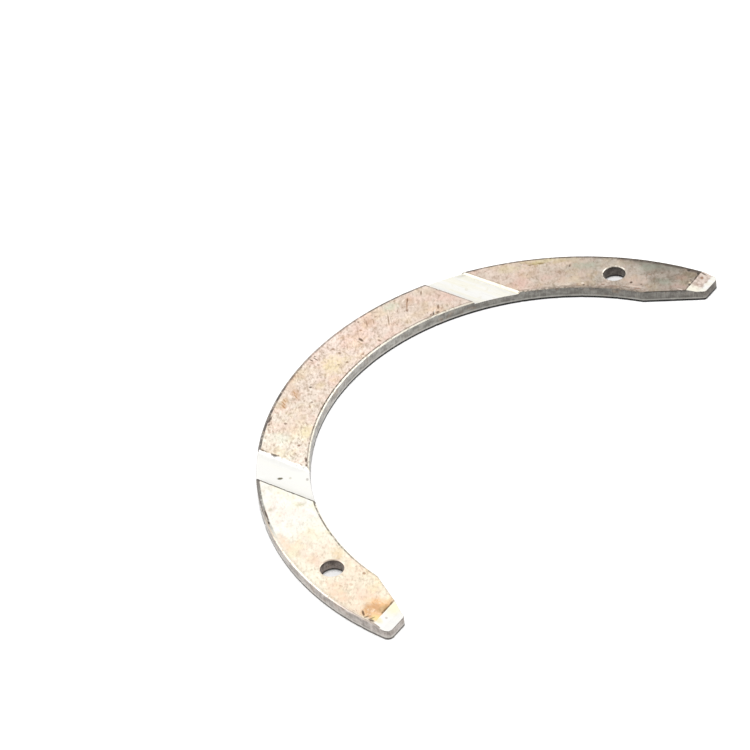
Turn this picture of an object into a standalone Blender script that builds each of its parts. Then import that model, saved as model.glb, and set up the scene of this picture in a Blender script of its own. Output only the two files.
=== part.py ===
"""Half-ring thrust washer: one flat piece, blanked, deburred and machined.

The washer lies flat on its plain back with the thrust face up. Z is its
thickness, +Y runs from the two ends to the crown, and it is symmetric about
the YZ plane. The origin is the bottom centre of its bounding box.
All lengths are in metres, all angles in degrees.
"""

import math

import bpy
import bmesh
from mathutils import Vector

# ------------------------------------------------------------ driving sizes
OUTER_R = 0.0750          # outside radius
INNER_R = 0.0619          # journal side radius
THICKNESS = 0.0034        # back to thrust face
END_GAP = 0.0005          # the end faces stop this far short of the ring's centre line

FLAT_START = 13.2         # where each end flat leaves the inner circle, angle from +X
FLAT_LEAN = 31.4          # lean of that flat, measured from the Y axis
OUTER_CORNER_R = 0.0015   # end corners in plan
INNER_CORNER_R = 0.0010

TOP_CHAMFER = 0.00035     # turned chamfer along both arcs of the thrust face
BOTTOM_BREAK = 0.0003     # rounded edge all around the back

HOLE_R = 0.0029           # dowel holes
HOLE_PITCH_R = 0.0681
HOLE_ANGLE = 68.9         # each side of the crown
HOLE_CHAMFER = 0.00025

GROOVE_IN = 0.0368        # the two straight oil grooves, distances from the YZ plane
GROOVE_OUT = 0.0459
GROOVE_DEPTH = 0.0007

RELIEF_START = 0.0050     # the end relief begins here, measured from the centre line
RELIEF_FLOOR = 0.0028     # and its ramp reaches the low land here
RELIEF_DEPTH = 0.0007

RING_STEPS = 240          # facets in a full turn of either arc
CORNER_STEPS = 7
HOLE_STEPS = 48
MARGIN = 0.0010           # cutters run this far past the faces they cut

# the ring's centre, in the part's frame: the box runs from the end faces to the crown
RING_CENTRE_Y = -(END_GAP + OUTER_R) / 2.0


# ------------------------------------------------------------------ helpers
def clear_scene():
    for obj in list(bpy.data.objects):
        bpy.data.objects.remove(obj, do_unlink=True)


def new_collection(name):
    collection = bpy.data.collections.new(name)
    bpy.context.scene.collection.children.link(collection)
    return collection


def polar(radius, degrees):
    a = math.radians(degrees)
    return Vector((radius * math.cos(a), radius * math.sin(a)))


def arc(centre, radius, start, end, steps):
    """Points of an arc, both ends included."""
    points = []
    for i in range(steps + 1):
        a = start + (end - start) * i / steps
        points.append(Vector(centre) + polar(radius, a))
    return points


def ring_arc(radius, start, end):
    """Arc about the ring's centre, with its points on the full turn's facets."""
    step = 360.0 / RING_STEPS
    sign = 1.0 if end > start else -1.0
    points = [polar(radius, start)]
    for i in range(RING_STEPS):
        a = i * step if sign > 0.0 else (RING_STEPS - i) * step
        if (a - start) * sign > step / 2.0 and (end - a) * sign > step / 2.0:
            points.append(polar(radius, a))
    points.append(polar(radius, end))
    return points


def rounded_corner(before, corner, after, radius, steps):
    """Fillet between the straight lines before-corner and corner-after."""
    u = (before - corner).normalized()
    v = (after - corner).normalized()
    half = 0.5 * math.acos(max(-1.0, min(1.0, u.dot(v))))
    centre = corner + (u + v).normalized() * (radius / math.sin(half))
    first = corner + u * (radius / math.tan(half)) - centre
    last = corner + v * (radius / math.tan(half)) - centre
    a0 = math.degrees(math.atan2(first.y, first.x))
    a1 = math.degrees(math.atan2(last.y, last.x))
    turn = (a1 - a0 + 180.0) % 360.0 - 180.0
    return arc(centre, radius, a0, a0 + turn, steps)


def right_end():
    """Outline of the +X end, from the inner circle round to the outer one.

    Ring coordinates, with the ring's centre at zero.
    """
    kink = polar(INNER_R, FLAT_START)
    lean = math.radians(FLAT_LEAN)
    inner_corner = Vector((kink.x + (kink.y - END_GAP) * math.tan(lean), END_GAP))
    inner = rounded_corner(kink, inner_corner, Vector((OUTER_R, END_GAP)),
                           INNER_CORNER_R, CORNER_STEPS)

    # the outer corner is tangent to the end face and to the outer circle
    cy = END_GAP + OUTER_CORNER_R
    cx = math.sqrt((OUTER_R - OUTER_CORNER_R) ** 2 - cy ** 2)
    touch = math.degrees(math.atan2(cy, cx))
    outer = arc((cx, cy), OUTER_CORNER_R, -90.0, touch, CORNER_STEPS)
    return [kink] + inner + outer, touch


def washer_outline():
    """Closed outline of the half ring, anticlockwise, in ring coordinates."""
    end, touch = right_end()
    mirrored = [Vector((-p.x, p.y)) for p in reversed(end)]
    outer = ring_arc(OUTER_R, touch, 180.0 - touch)
    inner = ring_arc(INNER_R, 180.0 - FLAT_START, FLAT_START)
    return end + outer[1:-1] + mirrored + inner[1:-1]


def flat_blank(name, points, thickness, collection):
    """Extrude a closed 2D outline and make it a clean mesh object."""
    curve = bpy.data.curves.new(name + "_outline", "CURVE")
    curve.dimensions = "2D"
    curve.fill_mode = "BOTH"
    curve.extrude = thickness / 2.0
    spline = curve.splines.new("POLY")
    spline.points.add(len(points) - 1)
    for point, p in zip(spline.points, points):
        point.co = (p.x, p.y, 0.0, 1.0)
    spline.use_cyclic_u = True

    outline = bpy.data.objects.new(name + "_outline", curve)
    outline.location = (0.0, RING_CENTRE_Y, thickness / 2.0)
    collection.objects.link(outline)
    bpy.context.view_layer.update()

    depsgraph = bpy.context.evaluated_depsgraph_get()
    mesh = bpy.data.meshes.new_from_object(outline.evaluated_get(depsgraph))
    mesh.name = name
    bm = bmesh.new()
    bm.from_mesh(mesh)
    bmesh.ops.remove_doubles(bm, verts=bm.verts, dist=1e-6)
    # the caps are filled with triangles: join them into one flat face each
    inner_edges = [e for e in bm.edges
                   if len(e.link_faces) == 2 and e.calc_face_angle(0.0) < 1e-3
                   and abs(e.link_faces[0].normal.z) > 0.99]
    bmesh.ops.dissolve_edges(bm, edges=inner_edges, use_verts=False)
    bmesh.ops.recalc_face_normals(bm, faces=bm.faces)
    bm.to_mesh(mesh)
    bm.free()

    blank = bpy.data.objects.new(name, mesh)
    blank.matrix_world = outline.matrix_world.copy()
    collection.objects.link(blank)
    bpy.data.objects.remove(outline, do_unlink=True)
    bpy.data.curves.remove(curve)
    return blank


def break_back_edge(obj, half_thickness):
    """Round the rim of the back, as blanking leaves it."""
    mesh = obj.data
    weights = mesh.attributes.new("bevel_weight_edge", "FLOAT", "EDGE")
    for edge in mesh.edges:
        heights = [mesh.vertices[i].co.z for i in edge.vertices]
        if max(heights) < -half_thickness * 0.99:
            weights.data[edge.index].value = 1.0
    bevel = obj.modifiers.new("back_edge", "BEVEL")
    bevel.limit_method = "WEIGHT"
    bevel.offset_type = "OFFSET"
    bevel.width = BOTTOM_BREAK
    bevel.segments = 2
    bevel.profile = 0.5
    bevel.use_clamp_overlap = True


def as_cutter(obj):
    obj.hide_render = True
    obj.display_type = "WIRE"
    return obj


def box_cutter(name, low, high, collection):
    """A box between two corners, with its scale applied."""
    bpy.ops.mesh.primitive_cube_add(size=1.0)
    box = bpy.context.active_object
    box.name = name
    box.data.name = name
    low, high = Vector(low), Vector(high)
    size, mid = high - low, (low + high) / 2.0
    for v in box.data.vertices:
        v.co = Vector((v.co.x * size.x, v.co.y * size.y, v.co.z * size.z)) + mid
    for owner in list(box.users_collection):
        owner.objects.unlink(box)
    collection.objects.link(box)
    return as_cutter(box)


def turned_cutter(name, profile, location, steps, collection, closed=False):
    """A turned solid: the profile runs down its outer side, top to bottom.

    An open profile starts and ends on the axis. A closed one makes a ring.
    """
    edges = [(i, i + 1) for i in range(len(profile) - 1)]
    if closed:
        edges.append((len(profile) - 1, 0))
    mesh = bpy.data.meshes.new(name)
    mesh.from_pydata([(x, 0.0, z) for x, z in profile], edges, [])
    obj = bpy.data.objects.new(name, mesh)
    obj.location = location
    screw = obj.modifiers.new("turned", "SCREW")
    screw.axis = "Z"
    screw.angle = math.radians(360.0)
    screw.steps = steps
    screw.render_steps = steps
    screw.use_merge_vertices = True
    screw.merge_threshold = 0.00001
    screw.use_smooth_shade = False
    collection.objects.link(obj)
    return as_cutter(obj)


def cut(obj, cutter):
    boolean = obj.modifiers.new("cut_" + cutter.name, "BOOLEAN")
    boolean.operation = "DIFFERENCE"
    boolean.solver = "EXACT"
    boolean.object = cutter


def relief_cutter(name, collection):
    """One long block across both ends, with a sloping side.

    Its flat underside cuts the low land at each end face, and its +Y side
    leans out to the top, which leaves the ramp.
    """
    block = box_cutter(name,
                       (-OUTER_R - MARGIN, RING_CENTRE_Y - MARGIN,
                        THICKNESS - RELIEF_DEPTH),
                       (OUTER_R + MARGIN, RING_CENTRE_Y + RELIEF_FLOOR,
                        THICKNESS + MARGIN), collection)
    run_per_rise = (RELIEF_START - RELIEF_FLOOR) / RELIEF_DEPTH
    for v in block.data.vertices:
        if v.co.z > THICKNESS and v.co.y > RING_CENTRE_Y:
            v.co.y += (RELIEF_DEPTH + MARGIN) * run_per_rise
    return block


def smooth_round_faces(obj, degrees):
    obj.data.shade_smooth()
    obj.data.set_sharp_from_angle(angle=math.radians(degrees))


def bearing_steel():
    material = bpy.data.materials.new("bearing_steel")
    material.use_nodes = True
    shader = material.node_tree.nodes["Principled BSDF"]
    shader.inputs["Base Color"].default_value = (0.62, 0.55, 0.48, 1.0)
    shader.inputs["Metallic"].default_value = 0.8
    shader.inputs["Roughness"].default_value = 0.55
    return material


# -------------------------------------------------------------------- build
def build():
    clear_scene()
    parts = new_collection("thrust_washer")
    cutters = new_collection("washer_cutters")

    washer = flat_blank("thrust_washer", washer_outline(), THICKNESS, parts)
    break_back_edge(washer, THICKNESS / 2.0)

    # turned chamfers on the thrust face: a cone inside the ring, and a ring
    # with a sloping inner side around it
    top = THICKNESS + MARGIN
    centre = (0.0, RING_CENTRE_Y, 0.0)
    reach = TOP_CHAMFER + MARGIN
    cone = [(0.0, top), (INNER_R + reach, top),
            (INNER_R - MARGIN, THICKNESS - reach), (0.0, THICKNESS - reach)]
    cut(washer, turned_cutter("inner_chamfer", cone, centre, RING_STEPS, cutters))
    collar = [(OUTER_R - reach, top), (OUTER_R + MARGIN, top),
              (OUTER_R + MARGIN, THICKNESS - reach)]
    cut(washer, turned_cutter("outer_chamfer", collar, centre, RING_STEPS,
                              cutters, closed=True))

    # two dowel holes, each with a small chamfer at both rims
    flare = HOLE_R + HOLE_CHAMFER + MARGIN
    spindle = [(0.0, THICKNESS + MARGIN), (flare, THICKNESS + MARGIN),
               (HOLE_R, THICKNESS - HOLE_CHAMFER), (HOLE_R, HOLE_CHAMFER),
               (flare, -MARGIN), (0.0, -MARGIN)]
    for side, sign in (("right", 1.0), ("left", -1.0)):
        p = polar(HOLE_PITCH_R, 90.0 - sign * HOLE_ANGLE)
        cut(washer, turned_cutter("dowel_hole_" + side, spindle,
                                  (p.x, p.y + RING_CENTRE_Y, 0.0),
                                  HOLE_STEPS, cutters))

    # two straight oil grooves across the thrust face, parallel to Y
    floor = THICKNESS - GROOVE_DEPTH
    for side, sign in (("right", 1.0), ("left", -1.0)):
        x = sorted((sign * GROOVE_IN, sign * GROOVE_OUT))
        cut(washer, box_cutter("oil_groove_" + side,
                               (x[0], RING_CENTRE_Y + 0.030, floor),
                               (x[1], RING_CENTRE_Y + OUTER_R, THICKNESS + MARGIN),
                               cutters))

    # at both ends the thrust face runs down a ramp to a low, flat land
    cut(washer, relief_cutter("end_relief", cutters))

    washer.data.materials.append(bearing_steel())
    smooth_round_faces(washer, 30.0)


build()
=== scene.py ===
"""Looks for the half-ring thrust washer.

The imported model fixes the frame. One finely modelled mesh stands for its only
node: the same outline, holes, grooves and reliefs, with rounded and worn
edges, nicks and pits. Sizes in the modelling half are in millimetres about
the ring's centre, and become metres in the CAD frame at the end.
"""

import math

import bpy
import numpy as np
from mathutils import Matrix, Vector
from mathutils.geometry import delaunay_2d_cdt


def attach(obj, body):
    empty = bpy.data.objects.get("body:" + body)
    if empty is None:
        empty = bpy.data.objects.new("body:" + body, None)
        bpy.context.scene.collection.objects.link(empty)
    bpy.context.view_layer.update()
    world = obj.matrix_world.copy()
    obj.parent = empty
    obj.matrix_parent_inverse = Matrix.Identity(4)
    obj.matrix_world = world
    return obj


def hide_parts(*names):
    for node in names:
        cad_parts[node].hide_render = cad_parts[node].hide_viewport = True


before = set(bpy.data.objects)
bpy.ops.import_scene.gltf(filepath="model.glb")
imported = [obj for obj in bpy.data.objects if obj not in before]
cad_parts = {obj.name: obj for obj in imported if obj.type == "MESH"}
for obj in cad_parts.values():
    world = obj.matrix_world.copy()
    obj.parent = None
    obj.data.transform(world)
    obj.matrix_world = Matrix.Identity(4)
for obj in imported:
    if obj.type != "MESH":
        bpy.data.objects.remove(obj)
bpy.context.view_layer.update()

# ------------------------------------------------------------------- sizes
OUTER_R = 75.0
INNER_R = 61.9
THICKNESS = 3.4
END_GAP = 0.5
FLAT_START = 13.2
FLAT_LEAN = 31.4
OUTER_CORNER_R = 1.5
INNER_CORNER_R = 1.0
TOP_CHAMFER = 0.35
BACK_ROUND = 0.08
HOLE_R = 2.9
HOLE_PITCH_R = 68.1
HOLE_ANGLE = 68.9
HOLE_CHAMFER = 0.25
GROOVE_IN = 36.8
GROOVE_OUT = 45.9
GROOVE_DEPTH = 0.7
RELIEF_START = 5.0
RELIEF_FLOOR = 2.8
RELIEF_DEPTH = 0.7
RING_CENTRE_Y = -(END_GAP + OUTER_R) / 2.0

EDGE_ROUND = 0.07         # rounding where the thrust side meets the walls
STEP = 0.36               # spacing along the outline
GRID = 0.55               # spacing of the face's own points
INSETS = (0.03, 0.07, 0.14, 0.24, 0.31, 0.35, 0.39, 0.50)

FACE, CUT, WALL, BACK, FACE_LEFT, FACE_RIGHT = 0, 1, 2, 3, 4, 5
GROOVE_MID = 41.35                        # each groove parts two lands of the thrust face

HOLES = [(s * HOLE_PITCH_R * math.sin(math.radians(HOLE_ANGLE)),
          HOLE_PITCH_R * math.cos(math.radians(HOLE_ANGLE))) for s in (1.0, -1.0)]


# ------------------------------------------------------------------- noise
def lattice(ix, iy, seed):
    h = (ix * 374761393 + iy * 668265263 + seed * 974634777) & 0xFFFFFFFF
    h = ((h ^ (h >> 13)) * 1274126177) & 0xFFFFFFFF
    return ((h ^ (h >> 16)) & 0xFFFFFFFF) / 4294967295.0


def value_noise(x, y, seed):
    """Smooth noise from -1 to 1, one cell per unit."""
    x = np.asarray(x, float)
    y = np.asarray(y, float) + np.zeros_like(x)
    ix, iy = np.floor(x).astype(np.int64), np.floor(y).astype(np.int64)
    fx, fy = x - ix, y - iy
    fx, fy = fx * fx * (3 - 2 * fx), fy * fy * (3 - 2 * fy)
    a, b = lattice(ix, iy, seed), lattice(ix + 1, iy, seed)
    c, d = lattice(ix, iy + 1, seed), lattice(ix + 1, iy + 1, seed)
    return 2.0 * ((a * (1 - fx) + b * fx) * (1 - fy) + (c * (1 - fx) + d * fx) * fy) - 1.0


def fractal(x, y, seed, octaves=4):
    total, weight, amount = 0.0, 0.0, 1.0
    for k in range(octaves):
        total = total + amount * value_noise(np.asarray(x) * 2.0 ** k, np.asarray(y) * 2.0 ** k, seed + 17 * k)
        weight += amount
        amount *= 0.5
    return total / weight


# ----------------------------------------------------------------- outline
def polar(radius, degrees):
    a = math.radians(degrees)
    return np.array([radius * math.cos(a), radius * math.sin(a)])


def arc(centre, radius, start, end, spacing):
    n = max(3, int(math.ceil(abs(math.radians(end - start)) * radius / spacing)))
    return [np.array(centre) + polar(radius, start + (end - start) * i / n) for i in range(n + 1)]


def line(a, b, spacing):
    n = max(1, int(math.ceil(np.linalg.norm(np.array(b) - np.array(a)) / spacing)))
    return [np.array(a) + (np.array(b) - np.array(a)) * i / n for i in range(n + 1)]


def fillet(before, corner, after, radius, spacing):
    u = (before - corner) / np.linalg.norm(before - corner)
    v = (after - corner) / np.linalg.norm(after - corner)
    half = 0.5 * math.acos(float(np.clip(u @ v, -1.0, 1.0)))
    centre = corner + (u + v) / np.linalg.norm(u + v) * (radius / math.sin(half))
    first = corner + u * (radius / math.tan(half)) - centre
    last = corner + v * (radius / math.tan(half)) - centre
    a0 = math.degrees(math.atan2(first[1], first[0]))
    a1 = math.degrees(math.atan2(last[1], last[0]))
    return arc(centre, radius, a0, a0 + (a1 - a0 + 180.0) % 360.0 - 180.0, spacing)


def join(*runs):
    points = []
    for run in runs:
        for p in run:
            if not points or np.linalg.norm(p - points[-1]) > 1e-4:
                points.append(p)
    return points


def washer_outline():
    """The closed outline, anticlockwise, with even spacing."""
    kink = polar(INNER_R, FLAT_START)
    foot = np.array([kink[0] + (kink[1] - END_GAP) * math.tan(math.radians(FLAT_LEAN)), END_GAP])
    inner = fillet(kink, foot, np.array([OUTER_R, END_GAP]), INNER_CORNER_R, 0.11)
    cy = END_GAP + OUTER_CORNER_R
    cx = math.sqrt((OUTER_R - OUTER_CORNER_R) ** 2 - cy ** 2)
    touch = math.degrees(math.atan2(cy, cx))
    outer = arc((cx, cy), OUTER_CORNER_R, -90.0, touch, 0.16)
    end = join(line(kink, inner[0], STEP), inner, line(inner[-1], outer[0], STEP), outer)
    mirrored = [np.array([-p[0], p[1]]) for p in reversed(end)]
    loop = join(end, arc((0, 0), OUTER_R, touch, 180.0 - touch, STEP), mirrored,
                arc((0, 0), INNER_R, 180.0 - FLAT_START, FLAT_START, STEP))
    return np.array(loop[:-1])


def outward(loop):
    """Unit normals of an anticlockwise loop, pointing out of the material."""
    ahead = np.roll(loop, -1, axis=0) - loop
    ahead /= np.linalg.norm(ahead, axis=1)[:, None] + 1e-12
    behind = np.roll(ahead, 1, axis=0)
    n = np.stack([(ahead + behind)[:, 1], -(ahead + behind)[:, 0]], 1)
    return n / (np.linalg.norm(n, axis=1)[:, None] + 1e-12)


# nicks in the outline: ring angle from the crown, on the outer side or not, length, depth
NICKS = [(-48.3, True, 1.6, 0.10), (-22.5, False, 1.2, 0.07), (26.2, False, 0.9, 0.08),
         (11.0, True, 1.0, 0.06), (62.0, False, 1.4, 0.06), (70.5, False, 0.8, 0.08),
         (83.5, True, 1.3, 0.09), (-83.0, True, 1.2, 0.08), (-66.0, True, 0.9, 0.06),
         (33.0, True, 0.8, 0.05), (-8.0, False, 0.7, 0.05), (48.0, False, 1.1, 0.06)]


def worn(loop):
    """The outline with shallow wear and nicks, never outside the true one."""
    n = outward(loop)
    along = np.concatenate([[0.0], np.cumsum(np.linalg.norm(np.diff(loop, axis=0), axis=1))])
    depth = 0.010 + 0.010 * fractal(along / 2.3, 0.0, 5, 3)
    r = np.hypot(loop[:, 0], loop[:, 1])
    a = np.degrees(np.arctan2(loop[:, 0], loop[:, 1]))
    for angle, outside, length, deep in NICKS:
        on = (r > 68.0) == outside
        gap = np.abs(a - angle) * math.pi / 180.0 * r
        depth += on * deep * np.clip(1.0 - (gap / (length / 2.0)) ** 2, 0.0, 1.0)
    return loop - n * np.clip(depth, 0.0, None)[:, None]


# --------------------------------------------------------- thrust-side form
# how a groove's side drops: distance into the groove, and the depth there
STEEP = ([-0.12, -0.06, -0.025, 0.0, 0.02, 0.045, 0.08, 0.14, 0.24],
         [0.0, 0.006, 0.028, 0.075, 0.32, 0.56, 0.645, 0.685, GROOVE_DEPTH])
SLOPED = ([-0.10, -0.04, 0.0, 0.06, 0.14, 0.24, 0.36, 0.50, 0.66],
          [0.0, 0.008, 0.035, 0.12, 0.26, 0.44, 0.60, 0.675, GROOVE_DEPTH])
SIDES = {(1, "in"): STEEP, (1, "out"): SLOPED, (-1, "in"): SLOPED, (-1, "out"): STEEP}

# chips out of the face along the groove walls: side, wall, y, length, depth
CHIPS = [(-1, "in", 59.6, 1.7, 0.22), (-1, "in", 57.6, 0.9, 0.16), (-1, "in", 53.1, 1.2, 0.20),
         (-1, "in", 51.0, 1.4, 0.24), (-1, "out", 55.2, 0.9, 0.10), (-1, "out", 49.9, 1.5, 0.10),
         (1, "in", 61.0, 0.8, 0.10), (1, "out", 47.5, 0.9, 0.08)]


def groove_wall(side, wall, y):
    """Distance of a groove's wall from the symmetry plane, ragged by a hair."""
    seed = 31 + 7 * side + (3 if wall == "out" else 0)
    base = GROOVE_IN if wall == "in" else GROOVE_OUT
    sign = -1.0 if wall == "in" else 1.0
    x = 0.030 * fractal(np.asarray(y) / 1.1, 0.0, seed, 3) + 0.012 * fractal(np.asarray(y) / 6.0, 0.0, seed + 2, 2)
    for s, w, at, length, deep in CHIPS:
        if s == side and w == wall:
            x = x + deep * np.clip(1.0 - ((y - at) / (length / 2.0)) ** 2, 0.0, 1.0)
    return base + sign * x


def groove_depth_in(x, y):
    """How far inside a groove a point is, negative on the face."""
    inside = np.full(np.shape(x), -9.0)
    for side in (1, -1):
        across = np.asarray(x) * side
        s = np.minimum(across - groove_wall(side, "in", y), groove_wall(side, "out", y) - across)
        inside = np.where(across > 0.0, np.maximum(inside, s), inside)
    return inside


def groove_drop(x, y):
    """How far the grooves lower the thrust side."""
    drop = np.zeros(np.shape(x))
    for side in (1, -1):
        across = np.asarray(x) * side
        here = np.minimum(np.interp(across - groove_wall(side, "in", y), *SIDES[side, "in"]),
                          np.interp(groove_wall(side, "out", y) - across, *SIDES[side, "out"]))
        drop = np.where(across > 0.0, np.maximum(drop, here), drop)
    return drop


def relief_line(x):
    x = np.asarray(x, float)
    lean = 0.033 * np.clip(74.0 - x, 0.0, 9.0) * (x > 0.0)
    return RELIEF_START - lean + 0.045 * fractal(x / 1.2, 0.0, 77, 3)


def soft_min(a, b, k):
    return 0.5 * (a + b - np.sqrt((a - b) ** 2 + k * k))


def soft_max(a, b, k):
    return 0.5 * (a + b + np.sqrt((a - b) ** 2 + k * k))


def rounding(d):
    inside = np.clip(EDGE_ROUND - d, 0.0, EDGE_ROUND)
    return EDGE_ROUND - np.sqrt(np.clip(EDGE_ROUND ** 2 - inside ** 2, 0.0, None))


def ring_point(angle, radius):
    """A point given by its angle from the crown, positive to +X, and its radius."""
    return radius * math.sin(math.radians(angle)), radius * math.cos(math.radians(angle))


# pits and dents: angle from the crown, ring radius, size, depth
PITS = [(*ring_point(angle, radius), size, depth) for angle, radius, size, depth in (
    (-38.0, 69.2, 0.42, 0.09), (-38.2, 66.7, 0.25, 0.05), (-48.4, 65.8, 0.45, 0.05), (-1.2, 73.1, 0.35, 0.06),
    (14.1, 71.0, 0.40, 0.04), (17.4, 68.3, 0.30, 0.04), (8.85, 67.8, 0.40, 0.05), (-9.4, 68.3, 0.30, 0.05),
    (23.0, 69.8, 0.28, 0.04), (28.3, 64.6, 0.30, 0.04), (-83.1, 73.4, 0.50, 0.07), (-86.8, 70.5, 0.25, 0.05),
    (73.3, 65.0, 0.30, 0.05), (83.6, 73.6, 0.35, 0.05), (-15.3, 71.7, 0.40, 0.04), (36.6, 68.5, 0.30, 0.04),
    (80.0, 71.7, 0.30, 0.04), (55.0, 67.1, 0.28, 0.03), (-62.3, 70.8, 0.26, 0.04), (-25.7, 66.8, 0.30, 0.04),
    (-30.3, 66.5, 0.26, 0.04))]


def hole_gap(x, y):
    """Distance outside the nearest dowel hole's wall."""
    return np.min([np.hypot(np.asarray(x) - hx, np.asarray(y) - hy) for hx, hy in HOLES], axis=0) - HOLE_R


def thrust_side(x, y, d):
    """Height of the thrust side at a point that is d inside the outline."""
    r, a = np.hypot(x, y), np.arctan2(x, y)
    z = THICKNESS - 0.005 - 0.004 * fractal(x / 2.6, y / 2.6, 9, 3)
    ci = INNER_R + TOP_CHAMFER + 0.035 * fractal(a * 40.0, 0.0, 21, 3)
    co = OUTER_R - TOP_CHAMFER - 0.035 * fractal(a * 40.0, 0.0, 23, 3)
    z = soft_min(z, THICKNESS - (ci - r), 0.03)
    z = soft_min(z, THICKNESS - (r - co), 0.03)
    groove = THICKNESS - groove_drop(x, y)
    groove = groove - 0.004 * (1.0 + fractal(x / 1.7, y / 7.0, 41, 3)) * (groove < THICKNESS - 0.5)
    z = np.where(groove < THICKNESS - 1e-6, np.minimum(z, groove), z)
    slope = RELIEF_DEPTH / (RELIEF_START - RELIEF_FLOOR)
    ramp = THICKNESS - (relief_line(x) - y) * slope
    ramp = soft_max(ramp, THICKNESS - RELIEF_DEPTH - 0.003 * fractal(x / 3.0, y / 1.0, 43, 2), 0.03)
    z = soft_min(z, ramp, 0.02)
    for px, py, radius, deep in PITS:
        z = z - deep * np.clip(1.0 - (np.hypot(x - px, y - py) / radius) ** 2, 0.0, 1.0) ** 1.5
    gap = hole_gap(x, y)
    z = np.where(gap < 1.0, soft_min(z, THICKNESS - (HOLE_CHAMFER - gap), 0.03), z)
    z = z - rounding(d) - rounding(gap)
    return np.minimum(z, THICKNESS)


def distance_to(loop, points):
    """Distance from each point to a closed polyline."""
    a, b = loop, np.roll(loop, -1, axis=0)
    ab = b - a
    ll = np.maximum((ab ** 2).sum(1), 1e-12)
    out = np.empty(len(points))
    for i in range(0, len(points), 1500):
        p = points[i:i + 1500]
        ap = p[:, None, :] - a[None]
        t = np.clip((ap * ab[None]).sum(2) / ll[None], 0.0, 1.0)
        near = ap - t[..., None] * ab[None]
        out[i:i + 1500] = np.sqrt((near ** 2).sum(2).min(1))
    return out


def rough_inset(x, y):
    """Distance inside the true outline, good away from the corners."""
    r = np.hypot(x, y)
    kink = polar(INNER_R, FLAT_START)
    lean = math.radians(FLAT_LEAN)
    flat = (np.abs(x) - kink[0]) * math.cos(lean) + (y - kink[1]) * math.sin(lean)
    return np.min([r - INNER_R, OUTER_R - r, flat + 0.0 * r, y - END_GAP], axis=0)


class Plan:
    """Points and edges to triangulate."""

    def __init__(self):
        self.points, self.edges = [], []

    def path(self, points, closed=False):
        first = len(self.points)
        self.points.extend((float(p[0]), float(p[1])) for p in points)
        n = len(points)
        self.edges.extend((first + i, first + i + 1) for i in range(n - 1))
        if closed:
            self.edges.append((first + n - 1, first))
        return range(first, first + n)

    def scatter(self, points):
        self.points.extend((float(p[0]), float(p[1])) for p in points)

    def triangles(self):
        coords, _, faces, ids, _, _ = delaunay_2d_cdt(
            [Vector(p) for p in self.points], self.edges, [], 1, 1e-6)
        xy = np.array([(c[0], c[1]) for c in coords])
        where = {}
        for out, sources in enumerate(ids):
            for k in sources:
                where[k] = out
        tris = np.array(faces, int)
        mid = xy[tris].mean(1)
        tris = tris[hole_gap(mid[:, 0], mid[:, 1]) > -self.hole_grow]
        for ring in self.rings:                   # slivers between a hole's own rim points
            tris = tris[~np.isin(tris, [where[k] for k in ring]).all(1)]
        p = xy[tris]
        turn = np.cross(p[:, 1] - p[:, 0], p[:, 2] - p[:, 0])
        tris = tris[np.abs(turn) > 1e-12]
        turn = turn[np.abs(turn) > 1e-12]
        tris[turn < 0] = tris[turn < 0][:, ::-1]
        return xy, tris, where

    hole_grow = 0.0
    rings = ()


def circle(cx, cy, radius, n):
    return [(cx + radius * math.cos(2 * math.pi * i / n), cy + radius * math.sin(2 * math.pi * i / n))
            for i in range(n)]


def inner_grid(spacing, margin, seed):
    """Evenly scattered points over the face, clear of its edges."""
    rows = int(OUTER_R / (spacing * 0.866)) + 2
    cols = int(2 * OUTER_R / spacing) + 2
    i, j = np.meshgrid(np.arange(cols), np.arange(rows))
    x = -OUTER_R + spacing * (i + 0.5 * (j % 2)) + 0.22 * spacing * (2 * lattice(i, j, seed) - 1)
    y = spacing * 0.866 * j + 0.22 * spacing * (2 * lattice(i, j, seed + 1) - 1)
    x, y = x.ravel(), y.ravel()
    keep = (rough_inset(x, y) > margin) & (hole_gap(x, y) > margin)
    return x[keep], y[keep]


def boundary_loops(tris):
    """The open edges of a set of anticlockwise triangles, as ordered loops."""
    edges = set()
    for a, b, c in tris.tolist():
        for e in ((a, b), (b, c), (c, a)):
            edges.add(e)
    follow = {a: b for a, b in edges if (b, a) not in edges}
    loops = []
    while follow:
        start = next(iter(sorted(follow)))
        loop, at = [], start
        while at in follow:
            loop.append(at)
            at = follow.pop(at)
        loops.append(loop)
    return sorted(loops, key=len, reverse=True)


# ---------------------------------------------------------------- the mesh
class Builder:
    def __init__(self):
        self.verts, self.faces, self.kinds = [], [], []
        self.count = 0

    def add(self, xyz):
        first = self.count
        self.verts.append(np.asarray(xyz, float).reshape(-1, 3))
        self.count += len(self.verts[-1])
        return np.arange(first, self.count)

    def face(self, rows, kind):
        rows = np.asarray(rows, int)
        self.faces.extend(rows.tolist())
        self.kinds.extend(kind.tolist() if isinstance(kind, np.ndarray) else [kind] * len(rows))

    def band(self, upper, lower, kind):
        """Quads between two closed rows, the upper one running anticlockwise."""
        u2, l2 = np.roll(upper, -1), np.roll(lower, -1)
        self.face(np.stack([upper, lower, l2, u2], 1), kind)


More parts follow.
